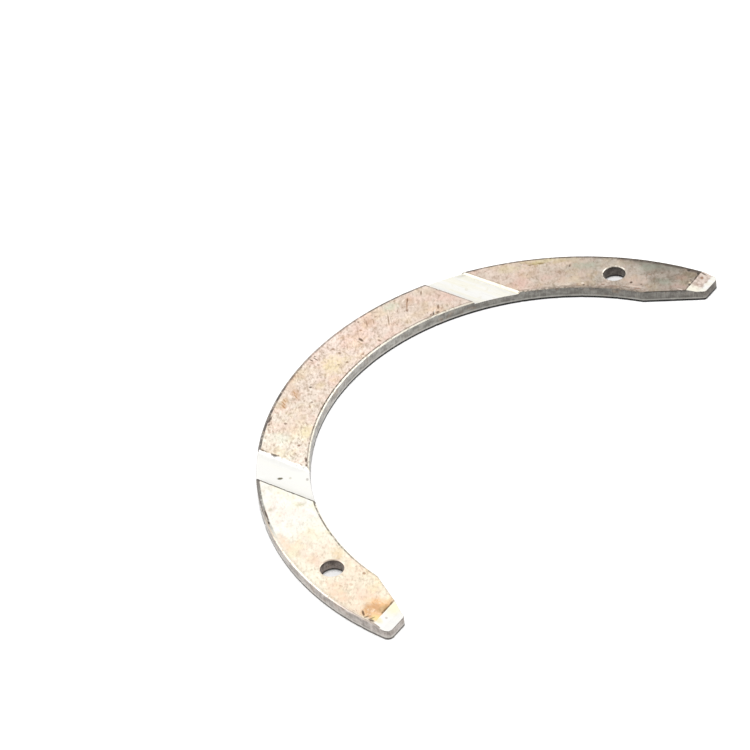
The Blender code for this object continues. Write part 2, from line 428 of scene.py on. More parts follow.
def thrust_plan(loop):
    plan = Plan()
    plan.path(loop, closed=True)
    n = outward(loop)
    for inset in INSETS:
        plan.path(loop - n * inset, closed=True)

    for hx, hy in HOLES:
        for gap in (0.0, 0.03, 0.07, 0.14, 0.21, 0.25, 0.29, 0.40, 0.60):
            plan.path(circle(hx, hy, HOLE_R + gap, 112), closed=True)

    # groove walls, run out past both arcs
    for side in (1, -1):
        for wall, sign in (("in", 1.0), ("out", -1.0)):
            base = GROOVE_IN if wall == "in" else GROOVE_OUT
            y0 = math.sqrt(INNER_R ** 2 - base ** 2) - 0.9
            y1 = math.sqrt(OUTER_R ** 2 - base ** 2) + 0.9
            y = np.arange(y0, y1, 0.22)
            x = groove_wall(side, wall, y)
            for s in SIDES[side, wall][0]:
                plan.path(np.stack([side * (x + sign * s), y], 1))

    # the ramps of the end reliefs
    for side in (1.0, -1.0):
        x = side * np.arange(64.4, OUTER_R + 0.6, 0.3)
        for shift in (0.10, 0.04, 0.0, -0.04, -0.10):
            plan.path(np.stack([x, relief_line(x) + shift], 1))
        x = side * np.arange(66.0, OUTER_R + 0.6, 0.5)
        for shift in (0.16, 0.06, 0.0, -0.06, -0.16):
            plan.path(np.stack([x, relief_line(x) - (RELIEF_START - RELIEF_FLOOR) + shift], 1))

    x, y = inner_grid(GRID, 0.72, 3)
    clear = np.abs(groove_depth_in(x, y) - 0.27) > 0.56
    rl = relief_line(x)
    clear &= (np.abs(y - rl) > 0.26) & (np.abs(y - rl + RELIEF_START - RELIEF_FLOOR) > 0.34)
    for px, py, radius, _ in PITS:
        clear &= np.hypot(x - px, y - py) > radius * 1.25
    plan.scatter(np.stack([x[clear], y[clear]], 1))
    for k, (px, py, radius, _) in enumerate(PITS):
        spots = [(px, py)]
        for share, count in ((0.35, 7), (0.7, 11), (1.0, 14)):
            spots += circle(px, py, radius * share, count)
        spots = np.array(spots)
        spots = spots[rough_inset(spots[:, 0], spots[:, 1]) > 0.56]
        plan.scatter(spots)
    return plan


def back_plan(rim, hole_rims):
    plan = Plan()
    ids = [plan.path(rim, closed=True)]
    n = outward(rim)
    plan.path((rim - n * 0.12)[::2], closed=True)
    for (hx, hy), ring in zip(HOLES, hole_rims):
        ids.append(plan.path(ring, closed=True))
        plan.path(circle(hx, hy, HOLE_R + HOLE_CHAMFER + 0.14, 60), closed=True)
    x, y = inner_grid(1.6, 1.0, 13)
    plan.scatter(np.stack([x, y], 1))
    plan.hole_grow = -HOLE_CHAMFER * 0.9
    plan.rings = ids[1:]
    return plan, ids


def make_washer():
    mesh = Builder()
    outline = worn(washer_outline())

    # thrust side
    xy, tris, _ = thrust_plan(outline).triangles()
    used = np.unique(tris)
    remap = -np.ones(len(xy), int)
    remap[used] = np.arange(len(used))
    xy, tris = xy[used], remap[tris]
    d = np.full(len(xy), 5.0)
    near = rough_inset(xy[:, 0], xy[:, 1]) < 0.4
    d[near] = distance_to(outline, xy[near])
    d[d < 1e-4] = 0.0
    z = thrust_side(xy[:, 0], xy[:, 1], d)
    top = mesh.add(np.column_stack([xy, z]))

    mid = xy[tris].mean(1)
    mx, my = mid[:, 0], mid[:, 1]
    r = np.hypot(mx, my)
    dd = d[tris].mean(1)
    kind = np.full(len(tris), FACE)
    kind[groove_depth_in(mx, my) > -0.01] = CUT
    kind[my < relief_line(mx) - 0.01] = CUT
    kind[(r < INNER_R + TOP_CHAMFER - 0.01) | (r > OUTER_R - TOP_CHAMFER + 0.01)] = CUT
    kind[dd < 0.05] = WALL
    kind[hole_gap(mx, my) < HOLE_CHAMFER - 0.01] = CUT
    kind[(kind == FACE) & (mx < -GROOVE_MID)] = FACE_LEFT
    kind[(kind == FACE) & (mx > GROOVE_MID)] = FACE_RIGHT
    mesh.face(tris, kind)

    # walls, from the rims of the thrust side down to the back's rounded edge
    loops = boundary_loops(tris)
    if len(loops) != 3:
        raise RuntimeError(f"the thrust side has {len(loops)} rims and not 3")
    rims = []
    for k, loop in enumerate(loops):
        ring = np.array(loop)
        p = xy[ring]
        n = outward(p)
        upper = top[ring]
        z0 = z[ring]
        along = np.concatenate([[0.0], np.cumsum(np.linalg.norm(np.diff(p, axis=0), axis=1))])
        if k == 0:
            low = BACK_ROUND
            steps = [(f, None) for f in (0.03, 0.12, 0.28, 0.45, 0.62, 0.78, 0.90, 1.0)]
            angles = np.radians([18.0, 36.0, 54.0, 72.0, 90.0])
        else:
            low = HOLE_CHAMFER
            steps = [(f, None) for f in (0.04, 0.2, 0.4, 0.6, 0.8, 1.0)]
            angles = np.radians([90.0])
        for f, _ in steps:
            zz = z0 + (low - z0) * f
            rough = 0.006 * (1.0 + fractal(along / 0.9, zz * 1.3, 61 + k, 3)) * (1.0 if k == 0 else 0.4)
            rough = rough * np.clip(f * 12.0, 0.0, 1.0) * np.clip((1.0 - f) * 12.0, 0.0, 1.0)
            q = p - n * rough[:, None]
            lower = mesh.add(np.column_stack([q, zz]))
            mesh.band(upper, lower, WALL)
            upper = lower
        for a in angles:
            if k == 0:
                inset, zz = low * (1.0 - math.cos(a)), low * (1.0 - math.sin(a))
            else:
                inset, zz = low, 0.0
            q = p - n * inset
            lower = mesh.add(np.column_stack([q, np.full(len(q), zz)]))
            mesh.band(upper, lower, WALL)
            upper = lower
        rims.append((q, upper))

    # back
    order = sorted(rims[1:], key=lambda rim: -rim[0][:, 0].mean())
    plan, ids = back_plan(rims[0][0], [rim[0] for rim in order])
    bxy, btris, where = plan.triangles()
    number = -np.ones(len(bxy), int)
    for wanted, (_, verts) in zip(ids, [rims[0]] + order):
        for source, v in zip(wanted, verts):
            number[where[source]] = v
    fresh = np.setdiff1d(np.unique(btris), np.where(number >= 0)[0])
    number[fresh] = mesh.add(np.column_stack([bxy[fresh], np.zeros(len(fresh))]))
    mesh.face(number[btris][:, ::-1], BACK)
    return mesh


def edge_distances(co):
    """Signed distances, in millimetres, that the materials read at each point."""
    x, y = co[:, 0], co[:, 1]
    return {"groove_in": np.clip(groove_depth_in(x, y), -3.0, 3.0),
            "above_relief": np.clip(y - relief_line(x), -6.0, 6.0)}


def finish_mesh(mesh, name):
    co = np.concatenate(mesh.verts)
    data = bpy.data.meshes.new(name)
    metres = co * 0.001 + np.array([0.0, RING_CENTRE_Y * 0.001, 0.0])
    data.from_pydata(metres.tolist(), [], mesh.faces)
    data.polygons.foreach_set("material_index", np.array(mesh.kinds, np.int32))
    for key, values in edge_distances(co).items():
        data.attributes.new(key, "FLOAT", "POINT").data.foreach_set("value", values.astype(np.float32))
    data.update()
    data.shade_smooth()
    data.set_sharp_from_angle(angle=math.radians(38.0))
    piece = bpy.data.objects.new(name, data)
    bpy.context.scene.collection.objects.link(piece)
    return piece


# ---------------------------------------------------------------- materials
class Graph:
    """Short names for the shader nodes used here."""

    def __init__(self, name):
        self.material = bpy.data.materials.new(name)
        self.material.use_nodes = True
        self.tree = self.material.node_tree
        self.shader = self.tree.nodes["Principled BSDF"]
        coord = self.tree.nodes.new("ShaderNodeTexCoord")
        scale = self.node("ShaderNodeVectorMath", operation="MULTIPLY")
        self.tree.links.new(coord.outputs["Object"], scale.inputs[0])
        scale.inputs[1].default_value = (1000.0, 1000.0, 1000.0)
        move = self.node("ShaderNodeVectorMath", operation="ADD")
        self.tree.links.new(scale.outputs[0], move.inputs[0])
        move.inputs[1].default_value = (0.0, -RING_CENTRE_Y, 0.0)
        point = self.node("ShaderNodeMapping", vector_type="POINT")
        self.tree.links.new(move.outputs[0], point.inputs["Vector"])
        self.p = point.outputs[0]                     # ring millimetres
        split = self.node("ShaderNodeSeparateXYZ")
        self.tree.links.new(move.outputs[0], split.inputs[0])
        self.x, self.y, self.z = split.outputs
        self.r = self.math("SQRT", self.math("ADD", self.math("MULTIPLY", self.x, self.x),
                                             self.math("MULTIPLY", self.y, self.y)))
        self.a = self.math("MULTIPLY", self.math("ARCTAN2", self.x, self.y), 180.0 / math.pi)

    def node(self, kind, **values):
        n = self.tree.nodes.new(kind)
        for k, v in values.items():
            setattr(n, k, v)
        return n

    def put(self, value, socket):
        if isinstance(value, bpy.types.NodeSocket):
            self.tree.links.new(value, socket)
        elif socket.type == "RGBA" and len(value) == 3:
            socket.default_value = (*value, 1.0)
        else:
            socket.default_value = value

    def math(self, op, a, b=0.0, c=0.0, clamp=False):
        n = self.node("ShaderNodeMath", operation=op, use_clamp=clamp)
        for value, socket in zip((a, b, c), n.inputs):
            self.put(value, socket)
        return n.outputs[0]

    def noise(self, size, detail=3.0, roughness=0.55, stretch=(1, 1, 1), turn=0.0, shift=(0, 0, 0), distortion=0.0):
        """Noise with features about `size` millimetres across."""
        m = self.node("ShaderNodeMapping", vector_type="TEXTURE")
        self.put(self.p, m.inputs["Vector"])
        m.inputs["Location"].default_value = tuple(-size * s for s in shift)
        m.inputs["Rotation"].default_value = (0.0, 0.0, math.radians(turn))
        m.inputs["Scale"].default_value = tuple(size * s for s in stretch)
        n = self.node("ShaderNodeTexNoise", noise_dimensions="3D")
        self.put(m.outputs[0], n.inputs["Vector"])
        n.inputs["Scale"].default_value = 1.0
        n.inputs["Detail"].default_value = detail
        n.inputs["Roughness"].default_value = roughness
        n.inputs["Distortion"].default_value = distortion
        return n.outputs["Fac"]

    def cells(self, size, shift=(0, 0, 0), randomness=1.0):
        m = self.node("ShaderNodeMapping", vector_type="POINT")
        self.put(self.p, m.inputs["Vector"])
        m.inputs["Location"].default_value = shift
        m.inputs["Scale"].default_value = (1.0 / size, 1.0 / size, 1.0 / size)
        n = self.node("ShaderNodeTexVoronoi", voronoi_dimensions="3D", feature="F1")
        self.put(m.outputs[0], n.inputs["Vector"])
        n.inputs["Scale"].default_value = 1.0
        n.inputs["Randomness"].default_value = randomness
        return n.outputs["Distance"], n.outputs["Color"]

    def span(self, value, low, high, to_low=0.0, to_high=1.0, smooth=True):
        n = self.node("ShaderNodeMapRange", interpolation_type="SMOOTHSTEP" if smooth else "LINEAR", clamp=True)
        self.put(value, n.inputs["Value"])
        n.inputs["From Min"].default_value = low
        n.inputs["From Max"].default_value = high
        n.inputs["To Min"].default_value = to_low
        n.inputs["To Max"].default_value = to_high
        return n.outputs["Result"]

    def mix(self, fac, a, b, mode="MIX"):
        n = self.node("ShaderNodeMix", data_type="RGBA", blend_type=mode, clamp_factor=True)
        self.put(fac, n.inputs[0])
        self.put(a, n.inputs[6])
        self.put(b, n.inputs[7])
        return n.outputs[2]

    def ramp(self, value, stops):
        n = self.node("ShaderNodeValToRGB")
        self.put(value, n.inputs[0])
        ramp = n.color_ramp
        ramp.interpolation = "EASE"
        while len(ramp.elements) > 1:
            ramp.elements.remove(ramp.elements[-1])
        ramp.elements[0].position = stops[0][0]
        ramp.elements[0].color = (*stops[0][1], 1.0)
        for at, colour in stops[1:]:
            e = ramp.elements.new(at)
            e.color = (*colour, 1.0)
        return n.outputs[0]

    def level(self, value, stops):
        """A number that follows another one through a few stops."""
        n = self.node("ShaderNodeSeparateColor")
        self.put(self.ramp(value, [(at, (v, v, v)) for at, v in stops]), n.inputs[0])
        return n.outputs[0]

    def band(self, value, rise_from, rise_to, fall_from, fall_to):
        return self.math("MULTIPLY", self.span(value, rise_from, rise_to), self.span(value, fall_to, fall_from))

    def times(self, *values):
        out = values[0]
        for v in values[1:]:
            out = self.math("MULTIPLY", out, v)
        return out

    def ragged(self, size, low, shift=(0.0, 0.0, 0.0)):
        """Breaks up a line: 1 where it is whole, down to `low` where it is worn away."""
        return self.span(self.noise(size, 4.0, 0.65, shift=shift), 0.38, 0.52, low, 1.0)

    def attribute(self, name):
        n = self.node("ShaderNodeAttribute", attribute_name=name)
        return n.outputs["Fac"]

    def spot(self, angle, radius, along, across, turn, amount, edge, ragged=0.5, soft=0.35):
        """Mask of a mark on the ring: an ellipse whose edge is broken up by `edge`, a noise about 0."""
        x, y = ring_point(angle, radius)
        m = self.node("ShaderNodeMapping", vector_type="TEXTURE")
        self.put(self.p, m.inputs["Vector"])
        m.inputs["Location"].default_value = (x, y, 3.0)
        m.inputs["Rotation"].default_value = (0.0, 0.0, math.radians(turn - angle))
        m.inputs["Scale"].default_value = (3.0 * along, 3.0 * across, 3000.0)
        n = self.node("ShaderNodeTexGradient", gradient_type="SPHERICAL")
        self.put(m.outputs[0], n.inputs["Vector"])
        depth = self.math("MULTIPLY_ADD", edge, -2.0 * ragged / 3.0, c=n.outputs["Fac"])
        return self.span(depth, 1.0 - (1.0 + soft) / 3.0, 1.0 - (1.0 - soft) / 3.0, 0.0, amount)

    def bump(self, height, distance, normal=None, strength=1.0):
        n = self.node("ShaderNodeBump")
        self.put(height, n.inputs["Height"])
        n.inputs["Distance"].default_value = distance
        n.inputs["Strength"].default_value = strength
        if normal is not None:
            self.put(normal, n.inputs["Normal"])
        return n.outputs[0]

    def finish(self, colour, roughness, normal, metallic):
        self.put(colour, self.shader.inputs["Base Color"])
        self.put(roughness, self.shader.inputs["Roughness"])
        self.put(normal, self.shader.inputs["Normal"])
        self.put(metallic, self.shader.inputs["Metallic"])
        return self.material


def srgb(r, g, b, gain=1.0):
    """Linear colour of an 8-bit sRGB value, times a gain."""
    out = []
    for c in (r, g, b):
        c /= 255.0
        out.append(gain * (c / 12.92 if c <= 0.04045 else ((c + 0.055) / 1.055) ** 2.4))
    return tuple(out)


TONE = 0.82               # the light is a little over full white, so surfaces are darker than they look


def tone(r, g, b):
    return srgb(r, g, b, TONE)


def at_angle(degrees):
    return degrees / 180.0 + 0.5


KINK = polar(INNER_R, FLAT_START)

# the face's colour along the arc, from the pale arm to the grey one: partly its patina, partly painted light, with a
# painted reflection of a bright light on the pale arm and painted shade on the grey one
FACE_PATINA_AND_LIGHT_STOPS = [(at_angle(-88), tone(251, 237, 217)), (at_angle(-78), tone(250, 238, 216)),
              (at_angle(-68), tone(252, 245, 226)), (at_angle(-60), tone(252, 246, 230)),
              (at_angle(-50), tone(255, 254, 245)), (at_angle(-40), tone(254, 252, 242)),
              (at_angle(-28), tone(247, 238, 224)), (at_angle(-11), tone(237, 222, 208)),
              (at_angle(4), tone(242, 224, 212)), (at_angle(24), tone(232, 215, 201)),
              (at_angle(34), tone(226, 210, 197)), (at_angle(46), tone(222, 204, 190)),
              (at_angle(54), tone(214, 200, 186)), (at_angle(60), tone(201, 190, 177)),
              (at_angle(66), tone(195, 186, 175)), (at_angle(72), tone(191, 181, 171)),
              (at_angle(80), tone(171, 162, 152)), (at_angle(87), tone(164, 153, 144))]

# how strongly the fine texture shows along the arc
GRAIN_STOPS = [(at_angle(-88), 0.70), (at_angle(-72), 0.60), (at_angle(-60), 0.42), (at_angle(-50), 0.28),
           (at_angle(-40), 0.28), (at_angle(-34), 0.85), (at_angle(-26), 1.0), (at_angle(6), 1.0),
           (at_angle(14), 0.85), (at_angle(30), 0.80), (at_angle(44), 0.70), (at_angle(54), 0.78),
           (at_angle(62), 0.66), (at_angle(74), 0.72), (at_angle(86), 0.95)]

# soft clouds: angle, radius, half size along and across the ring, turn, colour, amount
CLOUDS = ((-76.0, 72.6, 3.2, 1.5, 0.0, (250, 220, 196), 0.70), (-79.0, 68.4, 3.2, 1.9, -20.0, (248, 220, 200), 0.60),
          (-79.5, 65.8, 2.0, 1.0, 25.0, (250, 228, 190), 0.50), (-72.0, 66.2, 2.6, 1.6, 0.0, (250, 230, 208), 0.45),
          (-64.4, 70.4, 3.4, 1.6, 15.0, (242, 214, 194), 0.65), (-57.6, 73.3, 3.6, 1.0, 0.0, (246, 214, 186), 0.70),
          (-66.0, 64.3, 1.8, 1.3, -20.0, (240, 214, 170), 0.65), (-53.6, 70.0, 1.2, 0.8, 0.0, (238, 222, 200), 0.55),
          (-58.0, 66.0, 3.0, 1.6, 0.0, (252, 244, 214), 0.50), (-60.6, 68.2, 0.8, 0.5, 0.0, (222, 210, 184), 0.50),
          (-47.9, 65.8, 0.7, 1.0, 10.0, (204, 200, 160), 0.65), (-47.4, 72.9, 0.6, 0.4, -10.0, (186, 176, 150), 0.55),
          (-24.0, 63.8, 2.6, 1.1, 0.0, (244, 228, 178), 0.60), (-26.2, 70.2, 2.2, 2.3, 0.0, (240, 244, 226), 0.55),
          (-22.0, 68.5, 2.6, 2.0, 30.0, (236, 214, 196), 0.45), (-30.0, 71.0, 2.2, 1.6, 20.0, (232, 208, 180), 0.45),
          (-15.6, 72.2, 2.3, 0.8, 8.0, (212, 174, 132), 0.70), (-12.4, 70.7, 1.6, 1.0, 40.0, (214, 174, 136), 0.65),
          (-18.5, 66.0, 3.0, 2.2, 30.0, (232, 204, 188), 0.45), (-10.5, 72.6, 1.8, 1.0, 30.0, (222, 190, 158), 0.50),
          (-8.2, 66.2, 1.5, 1.1, 0.0, (236, 218, 174), 0.50), (-1.0, 67.4, 3.8, 2.4, 30.0, (249, 230, 180), 0.60),
          (2.0, 65.6, 1.8, 1.6, 0.0, (240, 222, 184), 0.45), (14.0, 71.0, 1.6, 1.1, 30.0, (200, 164, 134), 0.65),
          (24.2, 71.4, 1.2, 1.6, -30.0, (206, 168, 138), 0.60), (20.3, 72.3, 1.8, 1.6, 0.0, (214, 222, 200), 0.65),
          (25.0, 66.4, 3.0, 1.6, 30.0, (212, 188, 166), 0.45), (32.0, 66.4, 2.2, 1.8, 0.0, (238, 204, 190), 0.50),
          (29.0, 71.6, 2.4, 1.4, -20.0, (214, 194, 168), 0.45), (52.3, 72.6, 2.1, 0.5, -4.0, (176, 156, 100), 0.85),
          (54.0, 73.5, 6.0, 0.7, 0.0, (222, 208, 160), 0.65), (56.7, 72.6, 1.8, 0.6, 10.0, (198, 178, 132), 0.60),
          (46.6, 71.8, 2.6, 1.4, 0.0, (214, 202, 156), 0.55), (48.4, 65.6, 1.8, 1.9, 30.0, (226, 188, 174), 0.65),
          (54.3, 66.6, 1.9, 1.4, 0.0, (222, 188, 174), 0.60), (51.5, 68.8, 1.2, 1.0, 0.0, (180, 160, 140), 0.55),
          (62.4, 70.9, 3.4, 1.5, 5.0, (176, 182, 162), 0.75), (65.0, 67.9, 0.7, 0.8, 0.0, (170, 140, 104), 0.65),
          (59.6, 73.0, 1.6, 0.8, 0.0, (206, 186, 150), 0.50), (58.6, 65.0, 3.0, 1.2, 0.0, (214, 190, 168), 0.45),
          (77.0, 73.0, 6.4, 1.4, 0.0, (128, 130, 118), 0.75), (79.6, 71.0, 2.4, 1.4, 0.0, (134, 122, 108), 0.55),
          (75.2, 71.6, 2.2, 1.3, 20.0, (160, 166, 150), 0.60), (73.6, 66.0, 3.2, 2.0, 0.0, (214, 188, 170), 0.75),
          (80.4, 67.3, 2.0, 1.3, 0.0, (150, 156, 138), 0.65), (84.0, 66.9, 1.7, 1.1, 0.0, (200, 170, 158), 0.65),
          (83.2, 70.3, 1.7, 1.0, 15.0, (184, 150, 134), 0.60), (84.6, 72.6, 1.6, 0.9, 0.0, (134, 122, 88), 0.60),
          (70.0, 72.4, 2.4, 1.0, 0.0, (176, 166, 140), 0.50))

# small marks: the same figures
MARKS = ((-82.9, 73.5, 0.95, 0.30, -38.0, (104, 72, 40), 0.92), (-84.0, 74.0, 0.70, 0.22, 60.0, (120, 92, 58), 0.80),
         (-85.0, 73.8, 0.90, 0.16, 65.0, (120, 96, 62), 0.80), (-85.4, 74.3, 0.60, 0.35, 0.0, (96, 78, 52), 0.85),
         (-74.8, 63.7, 0.42, 0.38, 0.0, (178, 138, 106), 0.85), (-75.4, 68.4, 0.50, 0.40, 0.0, (216, 182, 154), 0.60),
         (-50.8, 74.5, 0.60, 0.28, 0.0, (90, 70, 54), 0.95), (-48.6, 74.3, 1.9, 0.24, 0.0, (112, 84, 58), 0.90),
         (-43.7, 66.4, 0.45, 0.38, 0.0, (70, 52, 36), 0.95), (-37.7, 74.1, 0.60, 0.50, 40.0, (78, 66, 56), 0.85),
         (-33.4, 62.7, 0.80, 0.26, 0.0, (86, 62, 44), 0.90), (-35.2, 62.6, 0.50, 0.24, 0.0, (110, 84, 60), 0.80),
         (-28.4, 64.9, 0.42, 0.34, 0.0, (146, 106, 82), 0.85), (-20.8, 73.9, 1.3, 0.28, -6.0, (84, 64, 50), 0.90),
         (-22.3, 73.7, 0.50, 0.30, 0.0, (120, 96, 76), 0.75), (-21.6, 69.7, 0.40, 0.38, 0.0, (128, 102, 82), 0.75),
         (-16.6, 72.0, 0.16, 0.95, -40.0, (176, 128, 82), 0.85), (-15.6, 72.4, 0.16, 0.90, -40.0, (184, 136, 88), 0.85),
         (-14.7, 72.6, 0.15, 0.80, -45.0, (190, 146, 102), 0.80), (-13.0, 70.4, 0.16, 0.90, -40.0, (184, 140, 98), 0.80),
         (-12.0, 71.3, 0.16, 0.75, -45.0, (190, 146, 104), 0.80), (-9.4, 68.3, 0.36, 0.34, 0.0, (104, 88, 66), 0.90),
         (-13.9, 65.7, 0.38, 0.36, 0.0, (146, 126, 106), 0.75), (-1.8, 73.3, 0.18, 0.60, -10.0, (104, 76, 54), 0.90),
         (-1.1, 72.6, 0.16, 0.85, -14.0, (112, 84, 60), 0.90), (-0.5, 73.4, 0.30, 0.20, 30.0, (118, 90, 66), 0.85),
         (-2.4, 70.8, 0.36, 0.42, 0.0, (170, 146, 122), 0.65), (2.9, 68.8, 0.32, 0.46, 20.0, (146, 112, 86), 0.85),
         (3.2, 71.1, 0.42, 0.36, 0.0, (160, 124, 98), 0.75), (1.2, 64.9, 0.38, 0.36, 0.0, (144, 114, 84), 0.80),
         (-0.4, 66.3, 0.30, 0.30, 0.0, (150, 122, 88), 0.70), (11.2, 63.8, 0.30, 0.52, -10.0, (140, 110, 86), 0.80),
         (11.1, 70.4, 0.34, 0.40, 0.0, (176, 134, 106), 0.75), (12.6, 73.3, 0.32, 0.36, 0.0, (146, 116, 94), 0.75),
         (8.85, 67.7, 0.36, 0.90, -8.0, (108, 82, 60), 0.92), (17.4, 68.4, 2.3, 0.17, 56.0, (156, 128, 102), 0.85),
         (13.4, 71.2, 1.2, 0.16, 56.0, (150, 112, 82), 0.70), (14.8, 70.6, 1.0, 0.15, 56.0, (156, 120, 90), 0.65),
         (23.2, 70.1, 2.1, 0.22, 58.0, (172, 136, 108), 0.80), (24.1, 71.6, 0.9, 0.20, 58.0, (120, 86, 60), 0.85),
         (27.6, 72.2, 0.85, 0.20, 60.0, (142, 112, 88), 0.80), (22.2, 68.2, 0.5, 0.24, 58.0, (130, 98, 74), 0.75),
         (28.4, 64.7, 0.9, 0.30, 62.0, (138, 110, 84), 0.85), (26.4, 63.1, 0.95, 0.24, 50.0, (76, 54, 38), 0.95),
         (27.4, 62.9, 0.45, 0.30, 0.0, (96, 72, 52), 0.85), (25.6, 63.0, 0.4, 0.2, 40.0, (120, 92, 66), 0.80),
         (30.4, 68.6, 0.5, 0.3, 30.0, (176, 148, 124), 0.60), (59.2, 70.8, 0.22, 0.60, -8.0, (112, 92, 78), 0.80),
         (51.2, 72.3, 0.9, 0.2, 0.0, (136, 112, 68), 0.75), (53.2, 72.5, 0.8, 0.2, -6.0, (140, 116, 72), 0.70),
         (62.6, 62.75, 0.34, 0.26, 0.0, (66, 52, 42), 0.95), (67.0, 63.2, 0.50, 0.20, 0.0, (130, 100, 80), 0.75),
         (69.6, 62.8, 1.1, 0.16, 3.0, (112, 82, 62), 0.85), (72.6, 62.9, 1.3, 0.16, -3.0, (118, 88, 68), 0.85),
         (75.4, 62.9, 0.9, 0.16, 0.0, (140, 92, 72), 0.75), (73.3, 65.0, 0.34, 0.42, 0.0, (86, 58, 42), 0.92),
         (75.7, 64.8, 0.26, 0.34, 0.0, (110, 84, 66), 0.75), (83.6, 73.85, 0.46, 0.40, 0.0, (40, 32, 26), 1.00),
         (82.2, 74.1, 0.34, 0.24, 0.0, (74, 62, 50), 0.90), (85.7, 73.6, 0.30, 0.60, 10.0, (52, 42, 34), 0.95),
         (85.9, 71.8, 0.24, 0.50, 0.0, (78, 64, 50), 0.85), (85.7, 68.6, 0.26, 0.34, 0.0, (64, 46, 34), 0.90),
         (85.3, 70.4, 0.30, 0.24, 0.0, (90, 68, 52), 0.75), (78.8, 70.6, 0.36, 0.26, 20.0, (120, 96, 78), 0.70),
         (76.4, 69.2, 0.32, 0.26, 0.0, (150, 112, 88), 0.65), (81.3, 68.9, 0.5, 0.2, 30.0, (120, 104, 84), 0.65))

# pale chips, where the metal shows through
CHIPS_BRIGHT = ((18.9, 70.9, 1.5, 0.13, 56.0, (252, 236, 220), 0.70), (23.4, 72.2, 0.9, 0.18, 30.0, (252, 238, 224), 0.75),
                (28.1, 72.4, 0.8, 0.16, 60.0, (250, 234, 216), 0.70), (27.0, 63.7, 0.8, 0.20, 50.0, (246, 236, 222), 0.80),
                (62.3, 63.5, 0.34, 0.26, 0.0, (250, 240, 228), 0.85), (74.6, 63.6, 1.9, 0.22, 0.0, (226, 204, 188), 0.75),
                (49.4, 62.9, 0.9, 0.24, 0.0, (236, 222, 206), 0.70), (54.0, 63.0, 1.3, 0.22, 0.0, (232, 214, 198), 0.65),
                (58.0, 63.1, 0.9, 0.24, 0.0, (230, 212, 194), 0.60), (85.5, 69.3, 0.28, 0.20, 0.0, (246, 230, 200), 0.80),
                (84.6, 65.9, 0.9, 0.16, -4.0, (240, 222, 212), 0.70))


def within(spots, low, high):
    """The spots that lie between two x limits, with a margin."""
    return [s for s in spots if low - 4.0 < s[1] * math.sin(math.radians(s[0])) < high + 4.0]


